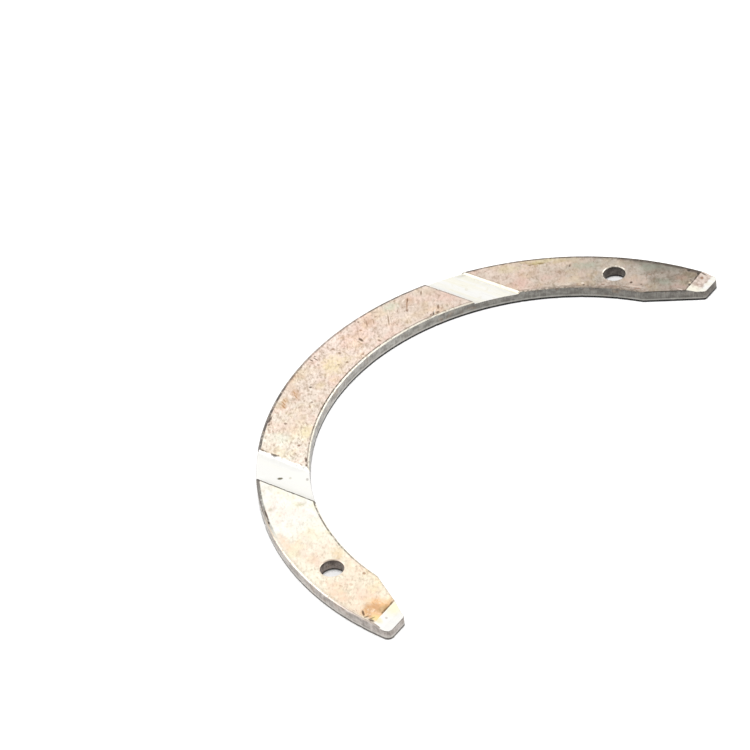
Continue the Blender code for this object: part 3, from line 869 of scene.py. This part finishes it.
def face_material(name, low, high):
    """One land of the thrust face: worn bearing metal, pale at one arm and grey at the other, partly from its patina
    and partly from painted light and shade.
    """
    g = Graph(name)
    angle = g.math("ADD", g.math("MULTIPLY", g.a, 1.0 / 180.0), 0.5)
    drift = g.math("MULTIPLY", g.math("SUBTRACT", g.noise(9.0, 3.0, 0.6), 0.5), 14.0 / 180.0)
    # colour along the arc: partly patina, partly painted light and shade
    base = g.ramp(g.math("ADD", angle, drift), FACE_PATINA_AND_LIGHT_STOPS)

    # clouds of pink, yellow and grey-green in the patina
    pink = g.span(g.noise(5.0, 4.0, 0.62, shift=(3.1, 1.7, 0.0)), 0.46, 0.62)
    yellow = g.span(g.noise(5.5, 4.0, 0.60, shift=(9.4, 5.2, 2.0)), 0.52, 0.66)
    grey = g.span(g.noise(4.0, 5.0, 0.62, shift=(1.4, 8.8, 5.0)), 0.52, 0.68)
    base = g.mix(g.math("MULTIPLY", pink, 0.70), base, (1.0, 0.89, 0.87), "MULTIPLY")
    base = g.mix(g.math("MULTIPLY", yellow, 0.65), base, (1.0, 0.97, 0.82), "MULTIPLY")
    base = g.mix(g.math("MULTIPLY", grey, 0.50), base, (0.86, 0.89, 0.85), "MULTIPLY")

    # mottling of a few millimetres and below, drawn out a little along the rolling direction
    show = g.level(angle, GRAIN_STOPS)
    mott = g.noise(1.8, 4.0, 0.62, stretch=(1.35, 1, 1), turn=38.0, shift=(4.0, 2.0, 7.0), distortion=0.7)
    fine = g.noise(0.66, 3.0, 0.62, stretch=(1.7, 1, 1), turn=38.0, shift=(6.0, 3.0, 1.0))
    both = g.math("ADD", g.math("MULTIPLY", mott, 0.5), g.math("MULTIPLY", fine, 0.5))
    base = g.mix(show, base, g.ramp(both, [(0.30, (0.50, 0.41, 0.33)), (0.40, (0.78, 0.72, 0.66)),
                                           (0.50, (1.0, 0.99, 0.98)), (0.62, (1.13, 1.14, 1.15))]), "MULTIPLY")

    # the grey arm is patchier
    arm = g.span(g.a, 44.0, 64.0)
    patch = g.noise(5.0, 5.0, 0.60, shift=(2.6, 7.1, 1.0), distortion=0.5)
    base = g.mix(arm, base, g.ramp(patch, [(0.34, (0.70, 0.68, 0.63)), (0.47, (0.95, 0.94, 0.92)),
                                           (0.56, (1.04, 1.02, 1.00)), (0.68, (1.16, 1.12, 1.08))]), "MULTIPLY")

    # dark flecks in clusters, thin wandering marks, and short scratches
    cluster = g.span(g.noise(4.0, 3.0, 0.6, shift=(7.7, 0.4, 3.0)), 0.44, 0.60)
    fleck = g.times(g.span(g.noise(1.1, 4.0, 0.70, stretch=(1.5, 1, 1), turn=38.0, shift=(5.2, 0.7, 9.0)), 0.585, 0.68), cluster)
    dist, _ = g.cells(1.5, shift=(2.0, 5.0, 0.0))
    speck = g.math("MULTIPLY", g.span(g.math("ADD", dist, g.math("MULTIPLY", fine, 0.45)), 0.45, 0.32),
                   g.span(g.noise(3.0, 3.0, 0.6, shift=(1.7, 6.4, 3.0)), 0.50, 0.62))
    wander = g.math("ABSOLUTE", g.math("SUBTRACT", g.noise(2.2, 3.0, 0.6, shift=(8.1, 8.2, 2.0), distortion=0.6), 0.5))
    vein = g.math("MULTIPLY", g.span(wander, 0.034, 0.010), g.span(g.noise(2.8, 2.0, 0.5, shift=(2.3, 6.6, 1.0)), 0.50, 0.64))
    scratch_a = g.span(g.noise(0.36, 1.0, 0.5, stretch=(5, 1, 1), turn=50.0, shift=(1, 9, 0)), 0.62, 0.70)
    scratch_b = g.span(g.noise(0.36, 1.0, 0.5, stretch=(5, 1, 1), turn=24.0, shift=(5, 2, 0)), 0.63, 0.71)
    scratch = g.math("MULTIPLY", g.math("MAXIMUM", scratch_a, scratch_b),
                     g.span(g.noise(3.2, 2.0, 0.5, shift=(0.3, 4.1, 6.0)), 0.45, 0.60))
    base = g.mix(g.times(fleck, show, 0.80), base, (0.50, 0.39, 0.29), "MULTIPLY")
    base = g.mix(g.times(speck, show, 0.60), base, (0.44, 0.35, 0.28), "MULTIPLY")
    base = g.mix(g.times(vein, show, 0.45), base, (0.62, 0.52, 0.43), "MULTIPLY")
    base = g.mix(g.times(scratch, show, 0.65), base, (0.56, 0.47, 0.39), "MULTIPLY")

    # stains that belong to their places on this washer
    colour = base
    cloud_edge = g.math("SUBTRACT", g.noise(1.7, 4.0, 0.62, shift=(2.0, 7.3, 1.1)), 0.5)
    mark_edge = g.math("SUBTRACT", g.noise(0.55, 3.0, 0.60, shift=(5.1, 0.6, 3.4)), 0.5)
    broken = g.span(g.noise(0.8, 3.0, 0.7, shift=(3.3, 9.1, 4.0)), 0.34, 0.54, 0.35, 1.0)
    grainy = g.ramp(fine, [(0.34, (0.86, 0.84, 0.82)), (0.50, (1.0, 1.0, 1.0)), (0.66, (1.08, 1.08, 1.08))])
    for at, radius, along, across, turn, shade, amount in within(CLOUDS, low, high):
        mask = g.spot(at, radius, along, across, turn, amount * (0.85 if at > 44.0 else 1.0), cloud_edge, 0.9, 0.7)
        colour = g.mix(g.math("MULTIPLY", mask, broken), colour, tone(*shade))
    colour = g.mix(g.math("MULTIPLY", show, 0.6), colour, grainy, "MULTIPLY")

    # the rust-brown stain that runs along the pale arm's relief
    climb = g.attribute("above_relief")
    if low < -GROOVE_MID:
        wave = g.math("MULTIPLY", cloud_edge, 3.2)
        rust = g.times(g.band(g.math("ADD", climb, wave), -1.2, 0.0, 3.6, 6.2), g.span(g.x, -74.2, -73.0),
                       g.span(g.x, -65.5, -68.2), g.span(g.noise(1.3, 4.0, 0.65, shift=(0.4, 3.9, 2.2)), 0.34, 0.50, 0.40, 1.0))
        pale = g.times(g.band(g.math("ADD", climb, wave), -1.2, 0.0, 0.8, 3.4), g.span(g.x, -70.0, -68.2), broken)
        colour = g.mix(g.math("MULTIPLY", pale, 0.60), colour, tone(250, 212, 156))
        colour = g.mix(g.math("MULTIPLY", rust, 0.85), colour, g.mix(g.span(mott, 0.40, 0.60), tone(220, 164, 108), tone(248, 198, 142)))
        colour = g.mix(g.spot(-85.3, 69.6, 1.0, 1.7, -10.0, 0.50, cloud_edge, 0.6, 0.5), colour, tone(176, 150, 100))
        colour = g.mix(g.spot(-85.6, 73.0, 1.1, 0.9, 0.0, 0.75, cloud_edge, 0.7, 0.5), colour, tone(244, 226, 158))
        deep = g.times(g.band(g.math("ADD", climb, g.math("MULTIPLY", wave, 0.25)), -0.3, 0.0, 0.20, 0.65), g.span(g.x, -71.6, -70.4),
                       g.span(g.x, -65.2, -66.2), g.span(mark_edge, -0.16, 0.02, 0.35, 1.0))
        colour = g.mix(g.math("MULTIPLY", deep, 0.90), colour, tone(104, 76, 42))

    for at, radius, along, across, turn, shade, amount in within(MARKS + CHIPS_BRIGHT, low, high):
        colour = g.mix(g.spot(at, radius, along, across, turn, amount, mark_edge, 0.55, 0.40), colour, tone(*shade))

    # grime rubbed towards the rim of the grey arm
    rim = g.times(g.span(g.r, 70.8, 74.6), g.span(g.a, 52.0, 80.0), g.span(g.noise(1.6, 4.0, 0.65, shift=(2, 2, 9)), 0.38, 0.62))
    colour = g.mix(g.math("MULTIPLY", rim, 0.45), colour, tone(104, 96, 86))
    lip = g.times(g.span(g.r, 64.0, 62.3), g.span(g.a, 44.0, 62.0), g.span(g.noise(0.9, 4.0, 0.65, shift=(8, 2, 3)), 0.46, 0.60))
    colour = g.mix(g.math("MULTIPLY", lip, 0.50), colour, tone(126, 98, 78))

    # thin dark lines that follow the edges of the face, partly dirt and partly painted shade on the rounded edges
    outer = g.times(g.span(g.r, OUTER_R - 1.02, OUTER_R - 0.78), g.ragged(1.3, 0.55, (3, 1, 5)),
                    g.level(angle, [(at_angle(-88), 0.14), (at_angle(-56), 0.14), (at_angle(-50), 0.60),
                                    (at_angle(-44), 0.78), (at_angle(-30), 0.90), (at_angle(-16), 0.92),
                                    (at_angle(-2), 0.58), (at_angle(10), 0.58), (at_angle(22), 0.82),
                                    (at_angle(46), 0.78), (at_angle(62), 0.85), (at_angle(88), 0.92)]))
    colour = g.mix(outer, colour, g.mix(g.span(g.a, 40.0, 60.0), tone(66, 62, 60), tone(74, 60, 50)))
    outer = g.times(g.span(g.r, OUTER_R - 1.7, OUTER_R - 1.0), g.span(g.a, 58.0, 74.0), g.ragged(1.5, 0.10, (5, 1, 2)), 0.85)
    colour = g.mix(outer, colour, tone(84, 74, 64))
    inner = g.times(g.span(g.r, INNER_R + 0.80, INNER_R + 0.56), g.ragged(1.1, 0.40, (7, 3, 1)),
                    g.level(angle, [(at_angle(-88), 0.35), (at_angle(-76), 0.45), (at_angle(-64), 0.85),
                                    (at_angle(-46), 0.95), (at_angle(-36), 0.45), (at_angle(-28), 0.55),
                                    (at_angle(-20), 0.90), (at_angle(-12), 1.0), (at_angle(4), 0.85),
                                    (at_angle(20), 0.55), (at_angle(38), 0.40), (at_angle(60), 0.30),
                                    (at_angle(88), 0.35)]))
    colour = g.mix(inner, colour, tone(78, 62, 48))
    flat = g.math("ADD", g.math("MULTIPLY", g.math("SUBTRACT", g.math("ABSOLUTE", g.x), KINK[0]), math.cos(math.radians(FLAT_LEAN))),
                  g.math("MULTIPLY", g.math("SUBTRACT", g.y, KINK[1]), math.sin(math.radians(FLAT_LEAN))))
    colour = g.mix(g.times(g.span(flat, 0.55, 0.25), g.span(g.x, -55.0, -56.0), g.span(g.y, 17.0, 15.5),
                           g.ragged(0.9, 0.2, (4, 4, 2)), 0.30), colour, tone(150, 134, 112))

    # the same along the grooves and the reliefs, partly dirt and partly painted shade
    groove = g.attribute("groove_in")
    near_groove = g.span(groove, -0.46, -0.26)
    left_near = g.times(near_groove, g.span(g.x, -41.0, -42.0), g.ragged(1.6, 0.65, (1, 5, 5)), 0.95)
    left_far = g.times(near_groove, g.span(g.x, -42.0, -41.0), g.span(g.x, 0.0, -1.0),
                       g.span(g.noise(1.4, 3.0, 0.6, shift=(6, 5, 4)), 0.50, 0.60), 0.85)
    right_near = g.times(near_groove, g.span(g.x, 0.0, 1.0), g.span(g.x, 42.0, 41.0), g.ragged(1.2, 0.5, (8, 5, 2)), 0.60)
    right_far = g.times(near_groove, g.span(g.x, 41.0, 42.0), g.ragged(1.2, 0.3, (8, 5, 2)), 0.35)
    for mask, shade in ((left_near, tone(62, 54, 48)), (left_far, tone(84, 66, 48)),
                        (right_near, tone(96, 86, 76)), (right_far, tone(140, 118, 92))):
        colour = g.mix(mask, colour, shade)
    edge = g.times(g.span(climb, 0.46, 0.16), g.span(g.x, 0.0, 1.0), g.ragged(0.7, 0.15, (2, 9, 2)), 0.80)
    colour = g.mix(edge, colour, tone(80, 68, 56))

    height = g.math("ADD", g.math("MULTIPLY", mott, 0.6),
                    g.math("SUBTRACT", g.math("MULTIPLY", fine, 0.4),
                           g.math("ADD", g.math("MULTIPLY", speck, 0.5), g.math("MULTIPLY", scratch, 0.5))))
    rough = g.math("ADD", g.span(mott, 0.3, 0.7, 0.50, 0.68), g.math("MULTIPLY", speck, 0.12), clamp=True)
    return g.finish(colour, rough, g.bump(height, 0.00002), 0.12)


def cut_material():
    """Machined surfaces: grooves, reliefs and turned chamfers."""
    g = Graph("washer_cut")
    lay = g.noise(0.22, 2.0, 0.5, stretch=(1, 30, 1))
    wide = g.noise(1.1, 3.0, 0.5, stretch=(1, 14, 1), shift=(3, 1, 0))
    spotty = g.noise(1.6, 4.0, 0.6, shift=(5, 8, 2))
    aged = g.span(g.x, -20.0, 20.0, 0.25, 1.0)
    # near white: partly the pale machined metal, partly a painted sheen on the cuts
    colour = g.mix(g.times(g.span(wide, 0.40, 0.66), aged), tone(255, 254, 250), tone(251, 248, 234))
    colour = g.mix(g.times(g.span(spotty, 0.56, 0.72), aged, 0.45), colour, tone(242, 236, 214))
    colour = g.mix(g.times(g.span(lay, 0.56, 0.74), aged, 0.16), colour, tone(200, 196, 186))

    # chamfers on the arcs are darker than the flat cuts, partly in their finish and partly from painted shade
    chamfer = g.math("MAXIMUM", g.span(g.r, INNER_R + 0.42, INNER_R + 0.36), g.span(g.r, OUTER_R - 0.42, OUTER_R - 0.36))
    chamfer = g.math("MULTIPLY", chamfer, g.span(g.z, THICKNESS - 0.60, THICKNESS - 0.50))
    blot = g.noise(1.0, 4.0, 0.65, shift=(2, 6, 4))
    angle = g.math("ADD", g.math("MULTIPLY", g.a, 1.0 / 180.0), 0.5)
    # the chamfers' colour around the ring: partly patina, partly painted light and shade
    ring = g.ramp(angle, [(at_angle(28), tone(240, 234, 218)), (at_angle(42), tone(220, 208, 190)), (at_angle(52), tone(204, 190, 174)),
                          (at_angle(66), tone(158, 144, 130)), (at_angle(80), tone(160, 146, 132))])
    outside = g.ramp(angle,
                     [(at_angle(-88), tone(160, 148, 138)), (at_angle(-81), tone(188, 172, 160)), (at_angle(-74), tone(226, 210, 198)),
                      (at_angle(-66), tone(238, 226, 208)), (at_angle(-58), tone(224, 208, 188)), (at_angle(-52), tone(178, 164, 146)), (at_angle(-46), tone(96, 90, 86)),
                      (at_angle(-8), tone(140, 134, 128)), (at_angle(40), tone(120, 112, 104)), (at_angle(88), tone(84, 74, 64))])
    ring = g.mix(g.span(g.r, 68.0, 69.0), ring, outside)
    ring = g.mix(g.math("MULTIPLY", g.span(blot, 0.52, 0.68), 0.7), ring, tone(150, 134, 114))
    ring = g.mix(g.times(g.span(g.noise(0.7, 4.0, 0.65, shift=(4, 1, 6)), 0.46, 0.58), g.span(g.a, 36.0, 48.0), 0.75), ring, tone(112, 100, 88))
    colour = g.mix(chamfer, colour, ring)
    hx = g.math("SUBTRACT", g.math("ABSOLUTE", g.x), HOLES[0][0])
    hy = g.math("SUBTRACT", g.y, HOLES[0][1])
    hole = g.span(g.math("ADD", g.math("MULTIPLY", hx, hx), g.math("MULTIPLY", hy, hy)), (HOLE_R + 0.7) ** 2, (HOLE_R + 0.5) ** 2)
    worn_ring = g.mix(g.span(g.x, -5.0, 5.0), tone(236, 218, 198), g.mix(g.span(blot, 0.42, 0.60), tone(236, 228, 214), tone(178, 166, 150)))
    colour = g.mix(hole, colour, worn_ring)

    # the grey arm's ramp kept its patina, and the other one is stained yellow
    blotch = g.noise(1.2, 4.0, 0.65, shift=(1, 1, 8))
    shore = g.math("MULTIPLY_ADD", g.math("SUBTRACT", blotch, 0.5), 1.6, c=g.y)
    right = g.times(g.span(shore, 1.8, 2.6), g.span(g.y, 5.3, 5.15), g.span(g.x, 60.0, 61.0))
    beige = g.mix(g.span(blotch, 0.40, 0.60), tone(228, 210, 198), tone(186, 164, 150))
    beige = g.mix(g.span(g.math("MULTIPLY_ADD", g.math("SUBTRACT", blotch, 0.5), 3.0, c=g.x), 69.8, 68.0), beige, tone(246, 241, 224))
    colour = g.mix(g.math("MULTIPLY", right, 0.92), colour, beige)
    edge = g.math("SUBTRACT", g.noise(0.7, 3.0, 0.6, shift=(3, 7, 2)), 0.5)
    for at, radius, along, across, turn, shade, amount, soft in (
            (-86.6, 67.9, 1.5, 2.2, 0.0, (252, 244, 196), 0.60, 0.7), (-86.3, 73.3, 0.9, 0.8, 0.0, (246, 236, 190), 0.70, 0.6),
            (-38.0, 69.2, 0.40, 0.60, 0.0, (104, 98, 66), 0.95, 0.4), (-38.2, 66.7, 0.36, 0.30, 0.0, (222, 218, 200), 0.8, 0.5),
            (-87.0, 71.4, 0.30, 0.34, 0.0, (196, 186, 176), 0.70, 0.5), (-39.3, 62.6, 0.50, 0.30, 0.0, (186, 180, 170), 0.70, 0.5),
            (36.6, 68.5, 0.4, 0.5, 0.0, (230, 224, 200), 0.5, 0.6), (38.0, 74.2, 2.2, 0.5, 0.0, (224, 222, 212), 0.6, 0.6),
            (86.9, 72.7, 0.34, 0.50, 0.0, (150, 112, 86), 0.85, 0.5), (86.7, 74.2, 0.80, 0.22, 0.0, (90, 78, 66), 0.85, 0.5),
            (87.0, 69.9, 0.30, 0.22, 0.0, (168, 136, 116), 0.70, 0.5)):
        colour = g.mix(g.spot(at, radius, along, across, turn, amount, edge, 0.5, soft), colour, tone(*shade))
    groove = g.attribute("groove_in")
    slope = g.times(g.band(groove, -0.05, 0.0, 0.62, 0.70), g.span(g.x, 42.0, 43.0))
    colour = g.mix(slope, colour, (0.89, 0.875, 0.81), "MULTIPLY")
    # a dark line at the left groove's near edge, partly dirt and partly painted shade
    lip = g.times(g.span(groove, 0.05, 0.0), g.span(groove, -0.6, -0.5))
    colour = g.mix(g.times(lip, g.span(g.x, -41.0, -42.0), 0.9), colour, tone(62, 54, 48))
    ragged = g.times(g.band(groove, -0.6, -0.5, 0.05, 0.30), g.span(g.x, -42.0, -41.0), g.span(g.x, 0.0, -1.0),
                     g.span(g.noise(1.4, 3.0, 0.6, shift=(6, 5, 4)), 0.50, 0.60))
    colour = g.mix(g.math("MULTIPLY", ragged, 0.85), colour, tone(84, 66, 48))
    rough = g.span(wide, 0.3, 0.7, 0.34, 0.50)
    return g.finish(colour, rough, g.bump(g.math("ADD", lay, g.math("MULTIPLY", blotch, 0.3)), 0.000012), 0.15)


def wall_material():
    """Blanked and turned edges: plain grey steel with painted light and shade: lighter towards the pale arm, darker
    towards the grey arm, at its tip and in the holes, with a painted contact shadow along the foot and a painted
    reflection of the floor above it.
    """
    g = Graph("washer_wall")
    streak = g.noise(0.30, 3.0, 0.6, stretch=(1, 1, 9))
    band = g.noise(2.2, 4.0, 0.6, stretch=(1, 1, 0.6), shift=(4, 4, 1))
    speck = g.noise(0.5, 3.0, 0.6, shift=(1, 7, 5))
    colour = g.mix(g.span(band, 0.38, 0.64), srgb(154, 152, 148), srgb(124, 121, 117))
    colour = g.mix(g.math("MULTIPLY", g.span(streak, 0.52, 0.70), 0.45), colour, srgb(176, 173, 167))
    colour = g.mix(g.math("MULTIPLY", g.span(streak, 0.48, 0.34), 0.40), colour, srgb(96, 92, 87))
    colour = g.mix(g.math("MULTIPLY", g.span(speck, 0.58, 0.70), 0.50), colour, srgb(92, 84, 75))
    angle = g.math("ADD", g.math("MULTIPLY", g.a, 1.0 / 180.0), 0.5)
    # painted light and shade around the ring: the walls lighter towards the pale arm and darker towards the grey one
    painted_light_and_shade = g.ramp(angle, [(at_angle(-88), (1.25, 1.17, 1.15)), (at_angle(-60), (1.13, 1.08, 1.06)), (at_angle(-30), (1.00, 0.99, 0.98)),
                           (at_angle(-20), (1.00, 0.99, 0.98)), (at_angle(-12), (1.12, 1.11, 1.09)), (at_angle(0), (0.97, 0.97, 0.96)),
                           (at_angle(12), (1.02, 1.02, 1.00)), (at_angle(24), (0.90, 0.90, 0.87)), (at_angle(38), (0.76, 0.76, 0.73)),
                           (at_angle(52), (0.76, 0.76, 0.73)), (at_angle(64), (0.68, 0.67, 0.64)), (at_angle(72), (0.57, 0.56, 0.54)),
                           (at_angle(78), (0.62, 0.61, 0.58)), (at_angle(88), (0.62, 0.60, 0.57))])
    colour = g.mix(1.0, colour, painted_light_and_shade, "MULTIPLY")
    # painted shade: the end wall at the grey arm's tip darkened to about half
    tip_painted_shade = g.times(g.span(g.x, 67.5, 70.0), g.span(g.y, 3.4, 1.6))
    colour = g.mix(tip_painted_shade, colour, (0.55, 0.52, 0.50), "MULTIPLY")
    soot = g.times(g.span(g.noise(1.0, 4.0, 0.65, stretch=(1, 1, 1.8), shift=(5, 3, 8)), 0.48, 0.62), g.span(g.z, 1.9, 3.1), g.span(g.a, 38.0, 46.0))
    colour = g.mix(g.math("MULTIPLY", soot, 0.55), colour, srgb(66, 60, 55))
    # painted shade inside the dowel holes, strongest near the top of their walls
    hx = g.math("SUBTRACT", g.math("ABSOLUTE", g.x), HOLES[0][0])
    hy = g.math("SUBTRACT", g.y, HOLES[0][1])
    hole = g.span(g.math("ADD", g.math("MULTIPLY", hx, hx), g.math("MULTIPLY", hy, hy)), 12.0, 11.0)
    inside = g.mix(g.span(g.z, 2.0, 3.0), (0.95, 0.89, 0.87), (0.46, 0.42, 0.40))
    inside = g.mix(g.math("MULTIPLY", g.span(g.noise(0.7, 3.0, 0.6, shift=(2, 2, 5)), 0.48, 0.60), 0.6), inside, (0.48, 0.42, 0.40))
    colour = g.mix(hole, colour, inside, "MULTIPLY")
    rust = g.math("MULTIPLY", g.span(g.noise(3.0, 4.0, 0.65, shift=(9, 2, 2)), 0.56, 0.70), 0.30)
    colour = g.mix(rust, colour, srgb(150, 120, 92))
    # painted reflection of the white floor: a lighter band on the walls just above the foot, left out in the holes and
    # at the tip
    light = g.times(g.band(g.z, 0.50, 0.64, 0.88, 1.12), g.math("SUBTRACT", 1.0, hole), g.math("SUBTRACT", 1.0, tip_painted_shade))
    colour = g.mix(g.times(light, g.span(g.a, 20.0, 60.0, 0.55, 0.40)), colour, srgb(186, 184, 178))
    # a dark line under the top edge of the grey arm's end flats, partly dirt and partly painted shade
    top = g.times(g.span(g.z, THICKNESS - 0.42, THICKNESS - 0.22), g.span(g.x, 59.0, 60.0), g.span(g.y, 4.4, 5.0),
                  g.span(g.y, 14.6, 14.0), g.span(g.r, 73.6, 73.0))
    colour = g.mix(g.math("MULTIPLY", top, 0.80), colour, srgb(58, 50, 44))
    rim = g.times(g.span(g.z, THICKNESS - RELIEF_DEPTH - 0.36, THICKNESS - RELIEF_DEPTH - 0.20), g.span(g.y, 2.6, 2.1),
                  g.span(g.math("ABSOLUTE", g.x), 67.5, 68.5), g.ragged(1.4, 0.35, (1, 3, 7)))
    colour = g.mix(g.math("MULTIPLY", rim, 0.65), colour, srgb(76, 68, 60))
    # painted contact shadow: a near-black band along the foot of the walls, weaker on the outer wall near the pale
    # arm's tip
    foot = g.span(g.math("ADD", g.z, g.math("MULTIPLY", g.math("SUBTRACT", speck, 0.5), 0.20)), 0.62, 0.50)
    outside = g.times(g.span(g.r, 68.0, 69.0), g.span(g.a, -50.0, -56.0))
    colour = g.mix(g.times(foot, g.math("SUBTRACT", 0.97, g.math("MULTIPLY", outside, 0.30))), colour, srgb(8, 7, 6))
    rough = g.span(band, 0.3, 0.7, 0.42, 0.60)
    height = g.math("ADD", g.math("MULTIPLY", streak, 0.5), g.math("MULTIPLY", speck, 0.5))
    return g.finish(colour, rough, g.bump(height, 0.00003), 0.55)


def back_material():
    """The plain ground back."""
    g = Graph("washer_back")
    lay = g.noise(0.25, 2.0, 0.5, stretch=(24, 1, 1), turn=8.0)
    band = g.noise(7.0, 4.0, 0.6, shift=(2, 5, 1))
    spots = g.noise(1.0, 4.0, 0.65, shift=(6, 1, 3))
    colour = g.mix(g.span(band, 0.38, 0.66), srgb(172, 167, 158), srgb(150, 143, 133))
    colour = g.mix(g.math("MULTIPLY", g.span(lay, 0.52, 0.74), 0.35), colour, srgb(198, 194, 186))
    colour = g.mix(g.math("MULTIPLY", g.span(spots, 0.57, 0.70), 0.45), colour, srgb(120, 102, 84))
    rough = g.span(band, 0.3, 0.7, 0.36, 0.52)
    return g.finish(colour, rough, g.bump(g.math("ADD", lay, g.math("MULTIPLY", spots, 0.4)), 0.00001), 0.7)


# -------------------------------------------------------------------- stage
def floor_material():
    material = bpy.data.materials.new("studio_floor")
    material.use_nodes = True
    shader = material.node_tree.nodes["Principled BSDF"]
    shader.inputs["Base Color"].default_value = (0.93, 0.93, 0.93, 1.0)
    shader.inputs["Roughness"].default_value = 0.9
    shader.inputs["Specular IOR Level"].default_value = 0.1
    shader.inputs["Emission Color"].default_value = (1.0, 1.0, 1.0, 1.0)
    shader.inputs["Emission Strength"].default_value = 0.15
    return material


def make_stage():
    bpy.ops.mesh.primitive_circle_add(vertices=96, radius=4.0, fill_type="NGON")
    floor = bpy.context.active_object
    floor.name = "studio_floor"
    floor.data.materials.append(floor_material())


RIGHT = Vector((0.614, -0.789, 0.0))      # towards the photo's right, on the floor
TOWARDS = Vector((-0.789, -0.614, 0.0))   # towards the photographer, on the floor


def area_light(name, place, size, power, aim=(0.0, 0.0, 0.0)):
    data = bpy.data.lights.new(name, "AREA")
    data.shape = "RECTANGLE"
    data.size, data.size_y = size
    data.energy = power
    light = bpy.data.objects.new(name, data)
    bpy.context.scene.collection.objects.link(light)
    light.location = place
    light.visible_camera = False
    light.rotation_euler = (Vector(aim) - Vector(place)).to_track_quat("-Z", "Y").to_euler()
    return light


def make_lights():
    world = bpy.data.worlds.new("studio")
    bpy.context.scene.world = world
    world.use_nodes = True
    world.node_tree.nodes["Background"].inputs["Color"].default_value = (1.0, 1.0, 1.0, 1.0)
    world.node_tree.nodes["Background"].inputs["Strength"].default_value = 0.35
    up = Vector((0.0, 0.0, 1.0))
    area_light("soft_left", -RIGHT * 0.80 + up * 0.21, (0.7, 0.32), 7.5)
    area_light("soft_right", RIGHT * 0.80 + up * 0.21, (0.7, 0.32), 7.0)
    area_light("soft_top", up * 1.2, (0.45, 0.45), 8.3)


def make_camera():
    """The photo's viewpoint: a long lens about 39 degrees above the floor."""
    focal, tilt, roll, az = 3880.2561, 0.68275487, -0.11451616, -0.00915192
    t = np.array([0.61283894, 0.26177766, 12.57147406]) * OUTER_R
    base = np.array([[0.61413815, -0.78919854, 0.0], [0.78919854, 0.61413815, 0.0], [0.0, 0.0, 1.0]])
    ca, sa, c, s = math.cos(az), math.sin(az), math.cos(tilt), math.sin(tilt)
    cr, sr = math.cos(roll), math.sin(roll)
    turn = np.array([[ca, -sa, 0.0], [sa, ca, 0.0], [0.0, 0.0, 1.0]])
    lean = np.array([[1.0, 0.0, 0.0], [0.0, -s, -c], [0.0, c, -s]])
    spin = np.array([[cr, -sr, 0.0], [sr, cr, 0.0], [0.0, 0.0, 1.0]])
    m = spin @ lean @ turn @ base
    place = -m.T @ t + np.array([0.0, RING_CENTRE_Y, 0.0])
    data = bpy.data.cameras.new("photo_view")
    data.sensor_width = 36.0
    data.lens = focal / 750.0 * 36.0
    data.clip_start, data.clip_end = 0.05, 50.0
    camera = bpy.data.objects.new("photo_view", data)
    bpy.context.scene.collection.objects.link(camera)
    axes = Matrix([m[0], -m[1], -m[2]]).transposed()
    camera.matrix_world = Matrix.Translation(Vector(place * 0.001)) @ axes.to_4x4()
    bpy.context.scene.camera = camera


# --------------------------------------------------------------------- make
make_camera()
make_stage()
make_lights()
view = bpy.context.scene.view_settings
view.view_transform = "Standard"
view.look = "None"
view.exposure = 0.0
view.gamma = 1.0

washer = finish_mesh(make_washer(), "washer_body")
for material in (face_material("washer_face_crown", -GROOVE_MID, GROOVE_MID), cut_material(), wall_material(), back_material(),
                 face_material("washer_face_left", -80.0, -GROOVE_MID), face_material("washer_face_right", GROOVE_MID, 80.0)):
    washer.data.materials.append(material)
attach(washer, "root")
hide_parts("thrust_washer")
